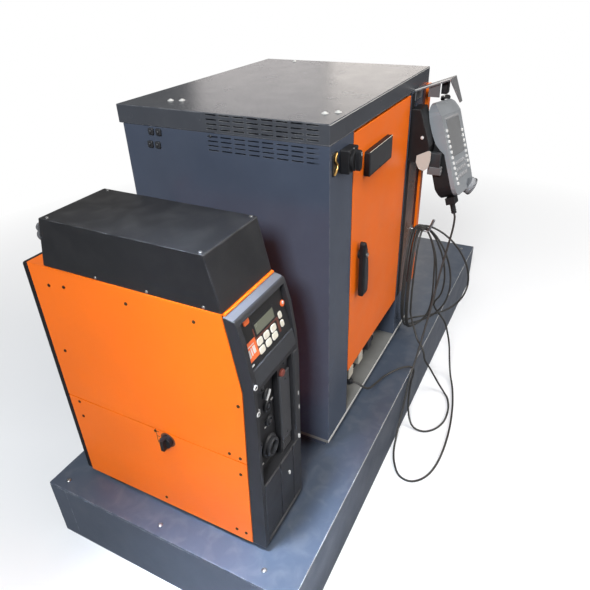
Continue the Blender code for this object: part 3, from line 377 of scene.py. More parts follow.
grey_plastic = coated("grey plastic", (0.270, 0.275, 0.285), 0.46, 1300.0, 0.00012, 0.06)
pendant_grey = coated("pendant grey", (0.235, 0.250, 0.265), 0.40, 1300.0, 0.00012, 0.06,
                      wear=(0.45, 0.45, 0.45), wear_amount=0.35, dust=(0.30, 0.29, 0.28), dust_amount=0.08)
beige_plastic = coated("beige plastic", (0.560, 0.520, 0.430), 0.50, 1300.0, 0.00010, 0.08)
bright_metal = bare_metal("bright metal", (0.62, 0.62, 0.63), 0.30)
sheet_grey = coated("grey sheet", (0.120, 0.121, 0.124), 0.36, 1000.0, 0.00012, 0.06,
                    wear=(0.62, 0.62, 0.62), wear_amount=0.5)
screen_glass = plain("screen glass", (0.200, 0.204, 0.208), 0.14)
# Brownish colour of the column's trim: a painted reflection of the orange door
reflected_orange = coated("column painted reflection", (0.150, 0.088, 0.066), 0.24, 1100.0, 0.00010, 0.08)
pendant_trim = coated("pendant trim", (0.300, 0.300, 0.305), 0.45, 1300.0, 0.00010, 0.06)
cable_jacket = coated("cable jacket", (0.034, 0.032, 0.029), 0.50, 1600.0, 0.00010, 0.12,
                      dust=(0.16, 0.15, 0.13), dust_amount=0.16)
ledge_paint = coated("dusty ledge", (0.150, 0.150, 0.142), 0.50, 900.0, 0.00012, 0.08,
                     dust=(0.30, 0.29, 0.27), dust_amount=0.15)

dress(plinth_paint, "plinth_top", "plinth_front_rail", "plinth_rear_rail", "plinth_left_end",
      "plinth_right_end", "plinth_cross_member")
dress(cabinet_paint, "cabinet_left_side", "cabinet_right_side", "cabinet_back", "cabinet_stile",
      "cabinet_column", "cabinet_header", "cabinet_runner_left", "cabinet_runner_right")
dress(lid_paint, "cabinet_lid")
dress(orange_paint, "cabinet_door", "column_strip", "source_upper_panel_left", "source_upper_panel_right",
      "source_lower_panel_left", "source_lower_panel_right", "source_top_cover")
dress(black_plastic, "service_panel", "door_handle", "handle_plate", "main_switch_knob", "main_switch_base",
      "connection_panel", "pendant_back", "pendant_boot", "pendant_holder", "cable_plug",
      "source_rear_bezel", "source_foot_front", "source_foot_rear", "source_switch")
dress(bezel_plastic, "source_front_bezel")
dress(box_paint, "interface_box")
dress(dark_metal, "source_core", "drive_pack")
dress(grey_plastic, "controller_computer", "jog_disc")
dress(pendant_grey, "pendant_housing")
dress(beige_plastic, "connector_row")
dress(ledge_paint, "cabinet_base")
dress(bright_metal, "door_pivot_lower", "door_pivot_upper", "mounting_plate", "cable_hook")
dress(sheet_grey, "pendant_bracket")
dress(screen_glass, "pendant_screen")
cord_line.materials.append(cable_jacket)

# Finishes of the small parts
key_white = plain("key white", (0.640, 0.600, 0.500), 0.42)
key_orange = plain("key orange", (0.780, 0.140, 0.030), 0.40)
mark_white = plain("mark white", (0.600, 0.590, 0.570), 0.50)
mark_brown = plain("mark brown", (0.110, 0.030, 0.018), 0.45)
display_glass = plain("display glass", (0.150, 0.155, 0.115), 0.25)
deep_black = plain("deep black", (0.006, 0.006, 0.007), 0.50)
soft_grey = plain("soft grey", (0.025, 0.026, 0.029), 0.50)
cover_grey = plain("cover grey", (0.045, 0.046, 0.050), 0.48)
mid_grey = plain("mid grey", (0.110, 0.112, 0.118), 0.45)
rust_knob = plain("rust knob", (0.210, 0.050, 0.035), 0.45)
# Dark red of the joint beside the column's orange strip, with the strip's shadow painted in
joint_shadow_red = plain("joint shadow red", (0.050, 0.010, 0.008), 0.55)
ivory = plain("ivory", (0.470, 0.465, 0.415), 0.45)
# Pale colour for painted highlights on lit edges and on the lid's screws
painted_highlight = plain("painted highlight", (0.600, 0.590, 0.560), 0.45)
screw_metal = plain("screw metal", (0.360, 0.350, 0.340), 0.34, 1.0)
screw_dark = plain("dark screw", (0.070, 0.040, 0.035), 0.42, 1.0)
brass = plain("brass", (0.700, 0.420, 0.130), 0.30, 1.0)


def face(x, y, z, turn=0.0, lean=0.0):
    """A face's own millimetres, x to its right, y up it and z out of it, from a place on it."""
    return (Matrix.Translation(at(x, y, z)) @ Matrix.Rotation(math.radians(turn), 4, "Z")
            @ Matrix.Rotation(math.radians(90.0 - lean), 4, "X") @ Matrix.Scale(0.001, 4))


def rounded(x0, x1, y0, y1, corner, steps=4):
    """A rectangle's outline with round corners."""
    outline = []
    middles = ((x1 - corner, y1 - corner), (x0 + corner, y1 - corner),
               (x0 + corner, y0 + corner), (x1 - corner, y0 + corner))
    for turn, (x, y) in enumerate(middles):
        for step in range(steps + 1):
            angle = math.pi / 2.0 * (turn + step / steps)
            outline.append((x + corner * math.cos(angle), y + corner * math.sin(angle)))
    return outline


def shrunk(outline, amount):
    """An outline moved inwards by an amount."""
    inner = []
    for index, here in enumerate(outline):
        here = Vector(here)
        back = (here - Vector(outline[index - 1])).normalized()
        ahead = (Vector(outline[(index + 1) % len(outline)]) - here).normalized()
        inward = Vector((-back.y - ahead.y, back.x + ahead.x)).normalized()
        inner.append(here + inward * amount / max(0.35, inward.dot(Vector((-back.y, back.x)))))
    return inner


# A screw head's radii and heights, in its own size
SCREW_HEAD = ((1.0, -0.2), (1.0, 0.25), (0.82, 0.48), (0.52, 0.58), (0.46, 0.54), (0.40, 0.16))
SHARP_ANGLE = 34.0


class Piece:
    """One object of many small closed forms, each in the millimetres of the face that it sits on."""

    def __init__(self, name, *shades):
        self.name = name
        self.shades = shades
        self.form = bmesh.new()
        self.place = Matrix()

    def on(self, place):
        """Goes on to another face."""
        self.place = place
        return self

    def skin(self, rings, shade):
        """A closed form through rings of points, from its first ring to its last."""
        rows = [[self.form.verts.new(self.place @ Vector(point)) for point in ring] for ring in rings]
        faces = [self.form.faces.new(rows[0]), self.form.faces.new(rows[-1])]
        for low, high in zip(rows, rows[1:]):
            for index, corner in enumerate(low):
                faces.append(self.form.faces.new((low[index - 1], corner, high[index], high[index - 1])))
        for made in faces:
            made.material_index = shade
            made.smooth = True

    def plate(self, outline, z0, z1, shade, edge):
        """A flat outline drawn out from one height to another, its outer rim sloped off."""
        low = [(x, y, z0) for x, y in outline]
        high = [(x, y, z1 - edge) for x, y in outline]
        top = [(x, y, z1) for x, y in shrunk(outline, edge)]
        self.skin((low, high, top), shade)

    def slab(self, x0, x1, y0, y1, z0, z1, shade, corner, edge):
        """A rectangular plate with round corners."""
        self.plate(rounded(x0, x1, y0, y1, corner), z0, z1, shade, edge)

    def turned(self, x, y, profile, shade=0, sides=28):
        """A round form about a place, from its radii and heights."""
        angles = [2.0 * math.pi * side / sides for side in range(sides)]
        self.skin([[(x + radius * math.cos(angle), y + radius * math.sin(angle), height)
                    for angle in angles] for radius, height in profile], shade)

    def screw(self, x, y, size, shade=0, z=0.0):
        """A domed screw head with a round recess."""
        self.turned(x, y, [(radius * size, z + height * size) for radius, height in SCREW_HEAD], shade, 16)

    def ridges(self, count, reach, z0, z1, radius, shade=0):
        """Thin rods out of the face, in a circle round its own middle."""
        for part in range(count):
            angle = 2.0 * math.pi * part / count
            x = reach * math.cos(angle)
            y = reach * math.sin(angle)
            self.tube([(x, y, z0), (x, y, z1)], radius, shade, 6)

    def tube(self, points, radius, shade=0, sides=12):
        """A round rod along points."""
        points = [Vector(point) for point in points]
        side = (points[1] - points[0]).orthogonal().normalized()
        rings = []
        for index, point in enumerate(points):
            run = points[min(index + 1, len(points) - 1)] - points[max(index - 1, 0)]
            run.normalize()
            side = (side - run * side.dot(run)).normalized()
            across = run.cross(side)
            rings.append([point + radius * (side * math.cos(angle) + across * math.sin(angle))
                          for angle in (2.0 * math.pi * part / sides for part in range(sides))])
        self.skin(rings, shade)

    def done(self, body, slot):
        """Makes the object, which rides on a body."""
        bmesh.ops.recalc_face_normals(self.form, faces=self.form.faces)
        mesh = bpy.data.meshes.new(self.name)
        self.form.to_mesh(mesh)
        self.form.free()
        mesh.set_sharp_from_angle(angle=math.radians(SHARP_ANGLE))
        for shade in self.shades:
            mesh.materials.append(shade)
        thing = bpy.data.objects.new(self.name, mesh)
        bpy.context.scene.collection.objects.link(thing)
        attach(thing, body)
        return thing


# Where the power source, its box, the cabinet and the plinth end
SOURCE_START = -372
SOURCE_END = -172
SOURCE_BACK = 617.3
BOX_START = -370
BOX_END = -174
BOX_HEIGHT = 793.6
CABINET_WIDTH = 792
CABINET_DEPTH = 585
CABINET_HEIGHT = 948
PLINTH_TOP = -35
PLINTH_START = -112

# The faces that details sit on
SOURCE_LEFT = face(SOURCE_START, 0, 0, turn=-90)
SOURCE_RIGHT = face(SOURCE_END, 0, 0, turn=90)
SOURCE_REAR = face(SOURCE_END, SOURCE_BACK, 0, turn=180)
SOURCE_PANEL = face(SOURCE_START, 0, 497, lean=13.86)
SOCKET_BAY = face(SOURCE_START, 26, 0)
COVER_BAY = face(SOURCE_START, 12, 0)
SOURCE_FRONT = face(SOURCE_START, 0, 0)
SOURCE_LOWER = face(SOURCE_START, 4, -21, lean=-0.61)
BOX_LEFT = face(BOX_START, 0, 0, turn=-90)
BOX_RIGHT = face(BOX_END, 0, 0, turn=90)
BOX_TOP = face(0, 0, BOX_HEIGHT, lean=90)
FRONT = face(0, 0, 0)
LEFT = face(0, 0, 0, turn=-90)
RIGHT = face(CABINET_WIDTH, 0, 0, turn=90)
REAR = face(CABINET_WIDTH, CABINET_DEPTH, 0, turn=180)
LID = face(0, 0, CABINET_HEIGHT, lean=90)
PLINTH = face(0, 0, PLINTH_TOP, lean=90)
PLINTH_FRONT = face(0, PLINTH_START, PLINTH_TOP)
PENDANT_FACE = (pendant_place @ Matrix.Translation((0.0, -26.0, 0.0))
                @ Matrix.Rotation(math.pi / 2.0, 4, "X"))

# Control panel of the power source: a smooth overlay and band, display, keys and marks, and a painted
# highlight on the round orange key
overlay = Piece("source_panel_overlay", deep_black, soft_grey, mark_brown)
overlay.on(SOURCE_PANEL)
overlay.slab(13.5, 186.5, 46, 156, -0.3, 0.7, 0, 3.0, 0.3)
overlay.slab(13.0, 187.0, 3, 44, -0.3, 3.0, 1, 3.0, 1.6)
overlay.slab(58, 142, 97, 130, 0.5, 1.8, 0, 4.0, 0.6)
overlay.slab(56, 144, 93, 98, 0.5, 1.3, 2, 1.5, 0.3)
overlay.slab(140, 148, 60, 96, 0.5, 1.1, 2, 1.5, 0.3)
overlay.slab(54, 58, 58, 120, 0.5, 1.1, 2, 1.5, 0.3)
overlay.done("station", "black_plastic")

display = Piece("source_display", display_glass)
display.on(SOURCE_PANEL).slab(63, 137, 102, 125, 1.5, 2.3, 0, 1.5, 0.3)
display.done("station", "screen_glass")

keys = Piece("source_panel_keys", key_white, key_orange, mark_white)
keys.on(SOURCE_PANEL)
for x, y in ((66, 85), (93, 84), (122, 83), (66, 65), (93, 65), (120, 65)):
    keys.slab(x - 10.5, x + 10.5, y - 8, y + 8, 0.4, 3.0, 0, 5.0, 1.0)
for x, y in ((157, 95), (157, 74)):
    keys.slab(x - 6.5, x + 6.5, y - 8, y + 8, 0.4, 3.0, 0, 4.5, 1.0)
keys.slab(32, 52.5, 138, 155.5, 0.4, 3.2, 1, 5.0, 1.0)
keys.turned(177, 113, ((7.5, 0.4), (7.5, 2.6), (6.5, 3.4), (4.0, 3.6)), 1)
# The pale dot above the round orange key's middle is a painted highlight
keys.turned(177, 115, ((4.0, 3.4), (3.6, 3.9)), 2)
keys.slab(13.8, 54, 61, 103, 0.5, 1.5, 1, 2.0, 0.4)
for x0, x1, y0, y1 in ((18, 27, 71, 88), (30, 34, 72, 89), (37, 46, 73, 90), (18, 46, 93, 95)):
    keys.slab(x0, x1, y0, y1, 1.3, 1.8, 2, 1.0, 0.2)
keys.slab(15, 28, 51, 55, 0.5, 1.3, 2, 1.2, 0.2)
keys.slab(14, 18, 134, 147, 0.5, 1.4, 2, 1.4, 0.3)
keys.done("station", "beige_plastic")

# Brow over the panel, its top in a lighter grey than the black below, and the top cover's front lip behind
# it
brow = Piece("source_brow_cap", mid_grey)
brow.on(face(SOURCE_START, 33, 662.6, lean=78.0))
brow.slab(1.0, 199.0, 1.0, 24.0, -1.4, 0.7, 0, 4.0, 0.8)
brow.done("station", "black_plastic")
lip = Piece("source_cover_lip", orange_paint)
lip.on(face(SOURCE_START, 50.0, 667.4))
lip.tube([(4.0, 2.6, -6.0), (100.0, 2.6, -6.0), (196.0, 2.6, -6.0)], 3.2)
lip.done("station", "orange_paint")

# The power source's front: its couplings in the socket bay, the cover strip beside them and its vents
bay = Piece("source_bay_parts", deep_black, soft_grey, cover_grey)
bay.on(SOCKET_BAY)
bay.slab(12, 115, 207, 485, -0.3, 1.2, 0, 3.0, 0.4)
bay.turned(78, 266, ((31, 0.8), (31, 5), (28, 8), (24, 8.5), (24, 15), (22, 17), (18, 17), (18, 4), (9, 3)),
           1, 40)
bay.turned(78, 266, ((7.5, 2.5), (7.5, 10), (6, 11)), 0)
for x, y, size in ((63, 456, 13), (82, 388, 15), (84, 340, 14), (36, 300, 11)):
    bay.turned(x, y, ((size, 0.8), (size, 5), (size - 2, 7), (size - 4, 7), (size - 4, 3), (2, 2.5)), 1, 32)
    bay.turned(x, y, ((size * 0.35, 2.0), (size * 0.35, 8.0), (size * 0.2, 9.0)), 2, 20)
bay.turned(82, 423, ((14, 0.8), (14, 4), (12, 6), (3, 6.4)), 1, 32)
for y in (222, 350, 372):
    bay.slab(24, 104, y - 1, y + 1, 0.9, 1.7, 1, 0.9, 0.2)
bay.on(COVER_BAY)
bay.slab(118.5, 163.5, 246, 446, -0.3, 5.0, 2, 4.0, 1.5)
for y in (262, 428):
    bay.screw(141, y, 3.0, 1, 5.0)
bay.turned(145.0, 475, ((8.0, -0.3), (8.0, 4.0), (6.5, 5.5), (2.0, 6.0)), 1, 24)
for y in (214, 222, 230, 238):
    bay.slab(120, 162, y - 2.4, y + 2.4, -0.3, 3.0, 1, 1.5, 0.8)
bay.on(SOURCE_FRONT)
bay.slab(169, 190, 240, 486, -6.0, 2.6, 1, 4.0, 1.4)
bay.done("station", "black_plastic")

# Pale rings, plates and a brown cap over them, and the ringed lamps on the front's left rim
rings = Piece("source_bay_rings", mark_white, deep_black, rust_knob)
rings.on(SOCKET_BAY)
for x, y in ((31, 474), (40, 402)):
    rings.turned(x, y, ((8.5, 0.8), (8.5, 5.0), (7.1, 6.2), (5.3, 5.0)), 0, 32)
rings.tube([(91, 432, 8.0), (84, 424, 9.0), (74, 412, 8.0)], 2.6)
for x, y, long in ((99, 463, 9), (105, 389, 10), (71, 330, 10), (38, 323, 12), (46, 231, 10)):
    rings.slab(x - long / 2.0, x + long / 2.0, y - 2.0, y + 2.0, 0.9, 2.2, 0, 1.2, 0.4)
rings.on(COVER_BAY)
rings.turned(133, 450, ((9.5, -0.3), (9.5, 4.5), (8, 6.5), (3, 7.0)), 2, 28)
rings.on(SOURCE_FRONT)
for x, y in ((6.6, 508), (8.0, 434)):
    rings.turned(x, y, ((6.2, -0.5), (6.2, 1.6), (5.4, 2.4), (4.4, 2.4), (3.6, 1.4)), 0, 32)
    rings.turned(x, y, ((3.7, 1.0), (3.5, 1.9), (1.0, 2.1)), 1, 24)
for x, y in ((186, 352), (188, 306), (187, 206), (128, 131)):
    rings.slab(x - 2.0, x + 2.0, y - 6.0, y + 6.0, -4.5 if y < 240 else 2.0, 3.1, 0, 1.2, 0.3)
rings.done("station", "beige_plastic")

# Cooling unit's front: three plates between upright joints, and a bar across their feet
cooler = Piece("source_cooler_front", bezel_plastic)
cooler.on(SOURCE_LOWER)
for x0, x1 in ((12, 84), (88, 150), (154, 188)):
    cooler.slab(x0, x1, 10, 222, -0.5, 1.8, 0, 3.0, 1.2)
cooler.slab(14, 186, 10, 22, 1.5, 3.6, 0, 3.0, 1.2)
cooler.done("station", "black_plastic")

# Screws of the power source and of the interface box, the same on both sides
source_screws = Piece("source_screws", screw_dark)
SIDE_SCREWS = ((542, 622), (492, 629), (307, 633), (129, 637), (556, 429), (562, 257), (564, 204),
               (43, 446), (82, 286), (53, 283), (57, 228), (303, 262), (316, 6), (89, 8), (61, 8))
for place, side in ((SOURCE_LEFT, -1.0), (SOURCE_RIGHT, 1.0)):
    source_screws.on(place)
    for y, z in SIDE_SCREWS:
        source_screws.screw(side * y, z, 4.2)
source_screws.on(SOURCE_REAR)
for x in (10, 190):
    for z in (20, 240, 300, 640):
        source_screws.screw(x, z, 4.2)
source_screws.done("station", "dark_metal")

box_screws = Piece("interface_box_screws", screw_metal)
for place, side in ((BOX_LEFT, -1.0), (BOX_RIGHT, 1.0)):
    box_screws.on(place)
    for y in (383, 242, 101):
        box_screws.screw(side * y, 678, 3.6)
box_screws.on(BOX_TOP)
for x, y in ((-362, 496), (-362, 98), (-182, 496), (-182, 98)):
    box_screws.screw(x, y, 4.0)
box_screws.done("station", "bright_metal")

eye = Piece("interface_box_cap", sheet_grey)
eye.on(face(-352, 531, 745, turn=180, lean=-13.8))
eye.turned(0, 0, ((15, -1.0), (15, 6), (12, 12), (6, 15)), 0, 32)
eye.turned(0, 17, ((11, -1.0), (11, 5), (8, 10), (4, 12)), 0, 28)
eye.done("station", "grey_sheet")

# Rotary switch of the cooling unit: a printed ring round it, and its marks
collar = Piece("source_switch_collar", mark_brown)
collar.on(SOURCE_LEFT)
collar.turned(-267, 246, ((22, -0.2), (22, 0.25), (21.5, 0.27), (19.5, 0.27)), 0, 40)
for y in (262, 246, 230):
    collar.slab(-300, -292, y - 1.2, y + 1.2, -0.2, 0.25, 0, 0.8, 0.1)
collar.slab(-302, -300, 222, 270, -0.2, 0.25, 0, 0.6, 0.1)
collar.done("station", "black_plastic")

# Screws on the cabinet's lid, each on a washer; heads and washers are pale as painted highlights
lid_screws = Piece("cabinet_lid_screws", painted_highlight)
lid_screws.on(LID)
for x, y in ((79, 484), (90, 456), (756, 472), (108, 27), (87, 51)):
    lid_screws.turned(x, y, ((8.5, -0.2), (8.5, 0.8), (7.5, 1.2), (5.5, 1.2)), 0, 24)
    lid_screws.screw(x, y, 5.2, 0, 1.1)
lid_screws.done("station", "bright_metal")

# Clips near the sides' rear upper corners, with pins on the left ones, and the screws of the rear
clips = Piece("cabinet_side_clips", soft_grey)
for place, side in ((LEFT, -1), (RIGHT, 1)):
    clips.on(place)
    for y, z in ((494, 893), (470, 893), (502, 860), (478, 860)):
        clips.slab(side * y - 8, side * y + 8, z - 13, z + 4, -0.3, 6.0, 0, 3.0, 1.8)
        if place is LEFT:
            clips.turned(-y, z - 4, ((4.5, 5.6), (4.5, 8.0), (3.0, 9.0)), 0, 16)
    clips.screw(side * 313, 893, 4.0)
clips.on(REAR)
for x in (14, 268, 524, 778):
    for z in (30, 450, 880):
        clips.screw(x, z, 4.5)
clips.done("station", "dark_metal")

# Bright lower edges of the lid's flanges, and a painted highlight along its front upper edge: a pale line
flange = Piece("cabinet_lid_edge", bright_metal, painted_highlight)
flange.on(FRONT).slab(0.6, 791.4, 901.2, 903.0, -0.3, 0.5, 0, 0.6, 0.2)
flange.on(LEFT).slab(-300.0, -0.6, 901.2, 903.0, -0.3, 0.5, 0, 0.6, 0.2)
flange.on(FRONT).slab(2.0, 790.0, 944.6, 946.2, -0.3, 0.4, 1, 0.6, 0.2)
flange.done("station", "bright_metal")

# Column at the right of the door: seal, smooth trim whose brownish colour is a painted reflection of the
# orange door, and a dark red joint beside the orange strip with the strip's shadow painted into it
column = Piece("cabinet_column_trim", deep_black, reflected_orange, joint_shadow_red)
column.on(FRONT)
column.slab(611, 642, 176, 897, -0.3, 1.2, 0, 2.0, 0.6)
column.slab(645, 733, 176, 682, -0.3, 1.6, 1, 2.0, 0.6)
column.slab(736, 762, 176, 897, -0.3, 2.0, 2, 2.0, 0.6)
column.done("station", "dark_metal")

# Service panel: a raised flap with a finger grip, and along the panel's top a pale rim that is a painted
# highlight
flap = Piece("service_panel_flap", soft_grey, key_white)
flap.on(face(308, -14.3, 797))
flap.slab(-86, 86, -28.5, 28.5, -0.3, 1.2, 0, 4.0, 0.8)
# Pale rim along the panel's top: a painted highlight
flap.tube([(-88, 31.2, -0.6), (0, 31.2, -0.6), (88, 31.2, -0.6)], 1.1, 1)
flap.slab(-14, 14, -27, -22, 1.0, 2.0, 0, 2.0, 0.5)
flap.done("door", "black_plastic")

# Main switch: screws and ticks on its base, a flat ridged grip in place of the CAD's knob, and the
# lock tab beside it with its brass chain
ring = Piece("main_switch_ring", soft_grey, mark_white)
ring.on(face(83, -24.3, 851))
for x, y in ((-23.5, -23.5), (23.5, -23.5), (-23.5, 23.5), (23.5, 23.5)):
    ring.turned(x, y, ((3.0, -1.0), (3.0, 0.15), (2.4, 0.2)), 0, 12)
ring.slab(-1, 1, 25.5, 27.6, -0.6, 0.15, 1, 0.4, 0.05)
ring.slab(25.5, 27.6, -1, 1, -0.6, 0.15, 1, 0.4, 0.05)
ring.done("station", "black_plastic")
grip = Piece("main_switch_grip", black_plastic, deep_black, mark_white)
grip.on(face(83, -24.6, 851))
grip.turned(0, 0, ((25, 0.0), (25, 4.6), (23.4, 6.2), (9, 6.4)), 0, 48)
grip.plate([(-9, 0), (-6.5, -20), (-3, -24), (3, -24), (6.5, -20),
            (9, 0), (6.5, 20), (3, 24), (-3, 24), (-6.5, 20)], 5.8, 18.6, 0, 2.4)
grip.slab(-1.2, 1.2, 11, 20, 18.2, 18.9, 2, 1.0, 0.1)
grip.ridges(24, 24.2, 0.3, 4.9, 0.8, 1)
grip = grip.done("main switch", "black_plastic")
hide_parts("main_switch_knob")
tab = Piece("main_switch_tab", deep_black, brass)
tab.on(face(28, 0, 855))
tab.slab(-15, 15, -28, 27, -0.3, 2.2, 0, 6.0, 0.8)
tab.tube([(3, 23, 3.4), (-5, 17, 4.6), (-7, 9, 5.0), (-1, 3, 5.0),
          (7, -3, 5.0), (5, -12, 4.6), (-4, -20, 4.0), (-8, -25, 3.0)], 2.6, 1)
tab.done("station", "black_plastic")

# Door handle: a raised spine and a lock barrel over its pivot
spine = Piece("door_handle_spine", soft_grey, screw_metal)
spine.on(face(187, -22.3, 420))
spine.plate([(11, 12), (30, 12), (35, 22), (36, 42), (32, 88), (24, 130), (17, 148), (11, 140), (9, 90)],
            -0.3, 1.4, 0, 1.0)
spine.turned(18, 128, ((7.0, 0.6), (7.0, 3.0), (5.5, 3.8), (3.0, 3.8), (2.6, 2.0)), 1, 24)
spine.done("door handle", "black_plastic")

# Inside of the door: a raised pan, two stiffeners and a seal along one edge
pan = Piece("door_inner_pan", orange_paint, soft_grey)
pan.on(face(600, 22, 172, turn=180))
pan.slab(26, 428, 26, 660, -0.3, 1.6, 0, 6.0, 0.8)
for x in (120, 330):
    pan.slab(x - 12, x + 12, 60, 620, 1.2, 5.0, 0, 3.0, 1.2)
pan.slab(8, 14, 10, 710, -0.3, 3.0, 1, 2.0, 1.0)
pan.done("door", "orange_paint")

# Inside of the cabinet: drive pack with fins and terminals, computer with vents and ports
inside = Piece("drive_pack_front", mid_grey, deep_black, bright_metal)
inside.on(face(70, 344.7, 300))
for x in range(24, 316, 14):
    inside.slab(x - 2.5, x + 2.5, 150, 246, -0.3, 5.0, 0, 1.5, 0.6)
for row in (26, 86):
    inside.slab(20, 310, row, row + 34, -0.3, 6.0, 1, 2.0, 0.8)
    for x in range(34, 306, 16):
        inside.screw(x, row + 22, 3.2, 2, 6.0)
        inside.slab(x - 4.5, x + 4.5, row + 4, row + 12, 5.6, 6.8, 0, 1.0, 0.4)
inside.done("station", "dark_metal")
computer = Piece("controller_computer_front", soft_grey, deep_black, mark_white)
computer.on(face(430, 374.7, 300))
computer.slab(8, 212, 8, 332, -0.3, 2.0, 0, 4.0, 0.8)
for y in range(210, 320, 10):
    computer.slab(30, 190, y - 2.2, y + 2.2, 1.8, 3.0, 1, 1.8, 0.4)
for y in (40, 84, 128):
    for x in (48, 110, 172):
        computer.slab(x - 18, x + 18, y - 12, y + 12, 1.8, 4.0, 1, 3.0, 0.8)
        computer.slab(x - 12, x + 12, y - 6, y + 6, 3.6, 4.6, 0, 2.0, 0.4)
computer.turned(40, 176, ((5, 1.8), (5, 3.4), (4, 4.0)), 2, 20)
computer.done("station", "grey_plastic")

# Connectors under the door: tall hoods over three of them, glands where no plug sits, and latches
hoods = Piece("connector_details", beige_plastic, screw_metal, soft_grey)
CONNECTOR_START = 215
CONNECTOR_PITCH = 85
for count in range(4):
    hoods.on(face(CONNECTOR_START + CONNECTOR_PITCH * count, 46, 73))
    if count < 3:
        hoods.slab(-16, 21, 18, 58, -0.3, 29.0, 2 if count == 2 else 0, 3.0, 1.6)
    if count:
        hoods.slab(-20, 20, -21, 21, -0.3, 5.0, 0, 3.0, 1.2)
        hoods.turned(0, 0, ((12, 4.6), (12, 9), (10.5, 10), (8.5, 10), (8.5, 7), (3, 6.6)), 2, 28)
    for x in (-19.5, 19.5):
        hoods.slab(x - 2.0, x + 2.0, -16, 16, -0.3, 6.4, 1, 1.0, 0.5)
        hoods.screw(x, -20, 2.2, 1, 0.0)
hoods.done("station", "beige_plastic")

# Cable plug: a knurled nut and a rubber sleeve
nut = Piece("cable_plug_nut", mid_grey, deep_black)
nut.on(face(215, 15.7, 73.3))
nut.turned(0, 0, ((6.5, -1.0), (8.5, -1.0), (8.5, 3.0), (7.0, 5.5), (4.4, 7.0), (4.0, 7.0)), 1, 28)
nut.ridges(20, 12.0, -12.0, -2.0, 0.9)
nut.done("station", "grey_plastic")

# Pale lip along the front of the cabinet's base, its paleness a painted highlight
sill = Piece("cabinet_base_edge", painted_highlight)
sill.on(FRONT).slab(0.6, 791.4, 0.8, 11.6, -0.3, 0.5, 0, 1.0, 0.3)
sill.done("station", "bright_metal")

# Plinth: a painted highlight along its front edge, and screws in its top
edge = Piece("plinth_painted_highlight", painted_highlight)
edge.on(PLINTH_FRONT).slab(-457.5, 1590.5, -2.4, -0.5, -0.3, 0.4, 0, 0.6, 0.2)
edge.done("station", "bright_metal")
plinth_screws = Piece("plinth_screws", screw_metal)
plinth_screws.on(PLINTH)
for x, y in ((-429, 300), (-417, -14), (-429, 640), (1540, 640), (1540, -60)):
    plinth_screws.screw(x, y, 6.5)
plinth_screws.done("station", "bright_metal")

# Pendant: two columns of pale keys, small keys under the screen and a strip over it
pendant_keys = Piece("pendant_keys", mark_white, pendant_trim)
pendant_keys.on(PENDANT_FACE)
LEFT_KEYS = ((-93, 63), (-91, 45), (-89, 28), (-87, 11), (-85, -7), (-84, -25), (-83, -43), (-82, -60),
             (-80, -78), (-77, -95), (-75, -111))
RIGHT_KEYS = ((81, 45), (81, 27), (81, 9), (81, -9), (82, -28), (82, -45), (83, -62), (84, -80))
for x, y in LEFT_KEYS:
    pendant_keys.slab(x - 8, x + 4, y - 5.5, y + 5.5, -0.3, 4.4, 0, 3.0, 1.6)
for x, y in RIGHT_KEYS:
    pendant_keys.slab(x - 1, x + 12, y - 5.5, y + 5.5, -0.3, 4.4, 0, 3.0, 1.6)
for x in (-50, -25, 0, 25, 50):
    for y in (-48, -70, -92):
        pendant_keys.slab(x - 9, x + 9, y - 6, y + 6, -0.3, 2.6, 1, 3.0, 1.2)
pendant_keys.slab(-84, 80, 97, 103, -0.3, 1.2, 1, 2.0, 0.6)
pendant_keys.done("station", "grey_plastic")

# The black bar on the pendant's top, with two pale knobs whose paleness is a painted highlight
knob = Piece("pendant_top_bar", deep_black, mark_white)
knob.on(pendant_place @ Matrix.Translation((40.0, -4.0, 156.0)))
knob.tube([(-34, 0, 4.0), (-30, 0, 7.0), (0, 0, 9.0), (36, 0, 7.0), (40, 0, 4.0)], 7.0, 0, 16)
knob.turned(-26, 0, ((6.5, 9.0), (6.5, 13.0), (5.0, 15.0), (2.0, 15.6)), 1, 20)
knob.turned(30, 0, ((5.5, 9.0), (5.5, 13.0), (4.0, 15.0), (2.0, 15.4)), 1, 20)
knob.done("station", "black_plastic")

# Ridges round the jog disc, and a ring on it
JOG_PLACE = Vector((55.0, -30.0, -146.0))
JOG_AXIS = Vector((0.35, -0.65, -0.67)).normalized()
jog = Piece("pendant_jog_ring", deep_black, mark_white)
jog.on(pendant_place @ Matrix.Translation(JOG_PLACE)
       @ JOG_AXIS.to_track_quat("Z", "Y").to_matrix().to_4x4())
jog.ridges(36, 30.2, 1.0, 8.5, 0.9)
jog.turned(0, 0, ((25, 9.6), (25, 10.6), (23, 11.0), (12, 10.6), (9, 10.2)), 1, 40)
jog.done("station", "grey_plastic")

# Holder and bracket: pale bolt, ivory clamp knob, hanging plate, a black block under the bracket's crest,
# and a painted highlight along the sheet's edge
fittings = Piece("holder_fittings", mark_white, ivory, deep_black, sheet_grey, painted_highlight)
fittings.on(face(622, -40, 762, turn=-90))
fittings.turned(0, 4, ((5, -1), (5, 4), (3.5, 5.5), (1.5, 6)), 0, 20)
fittings.on(face(622, -50, 698, turn=-90))
fittings.plate([(-17, 12), (2, 22), (16, 29), (21, 26), (22, 4), (17, -20), (6, -30), (-8, -26), (-18, -8)],
               -1.0, 12.0, 1, 3.0)
fittings.on(face(652, -56, 898, turn=-90))
fittings.plate([(-17, -15), (17, -15), (17, 26.6), (-17, 14.0)], 0.0, 3.0, 3, 0.8)
fittings.on(face(686, -72, 906)).slab(-16, 16, -17, 22, 0.0, 18.0, 2, 4.0, 1.6)
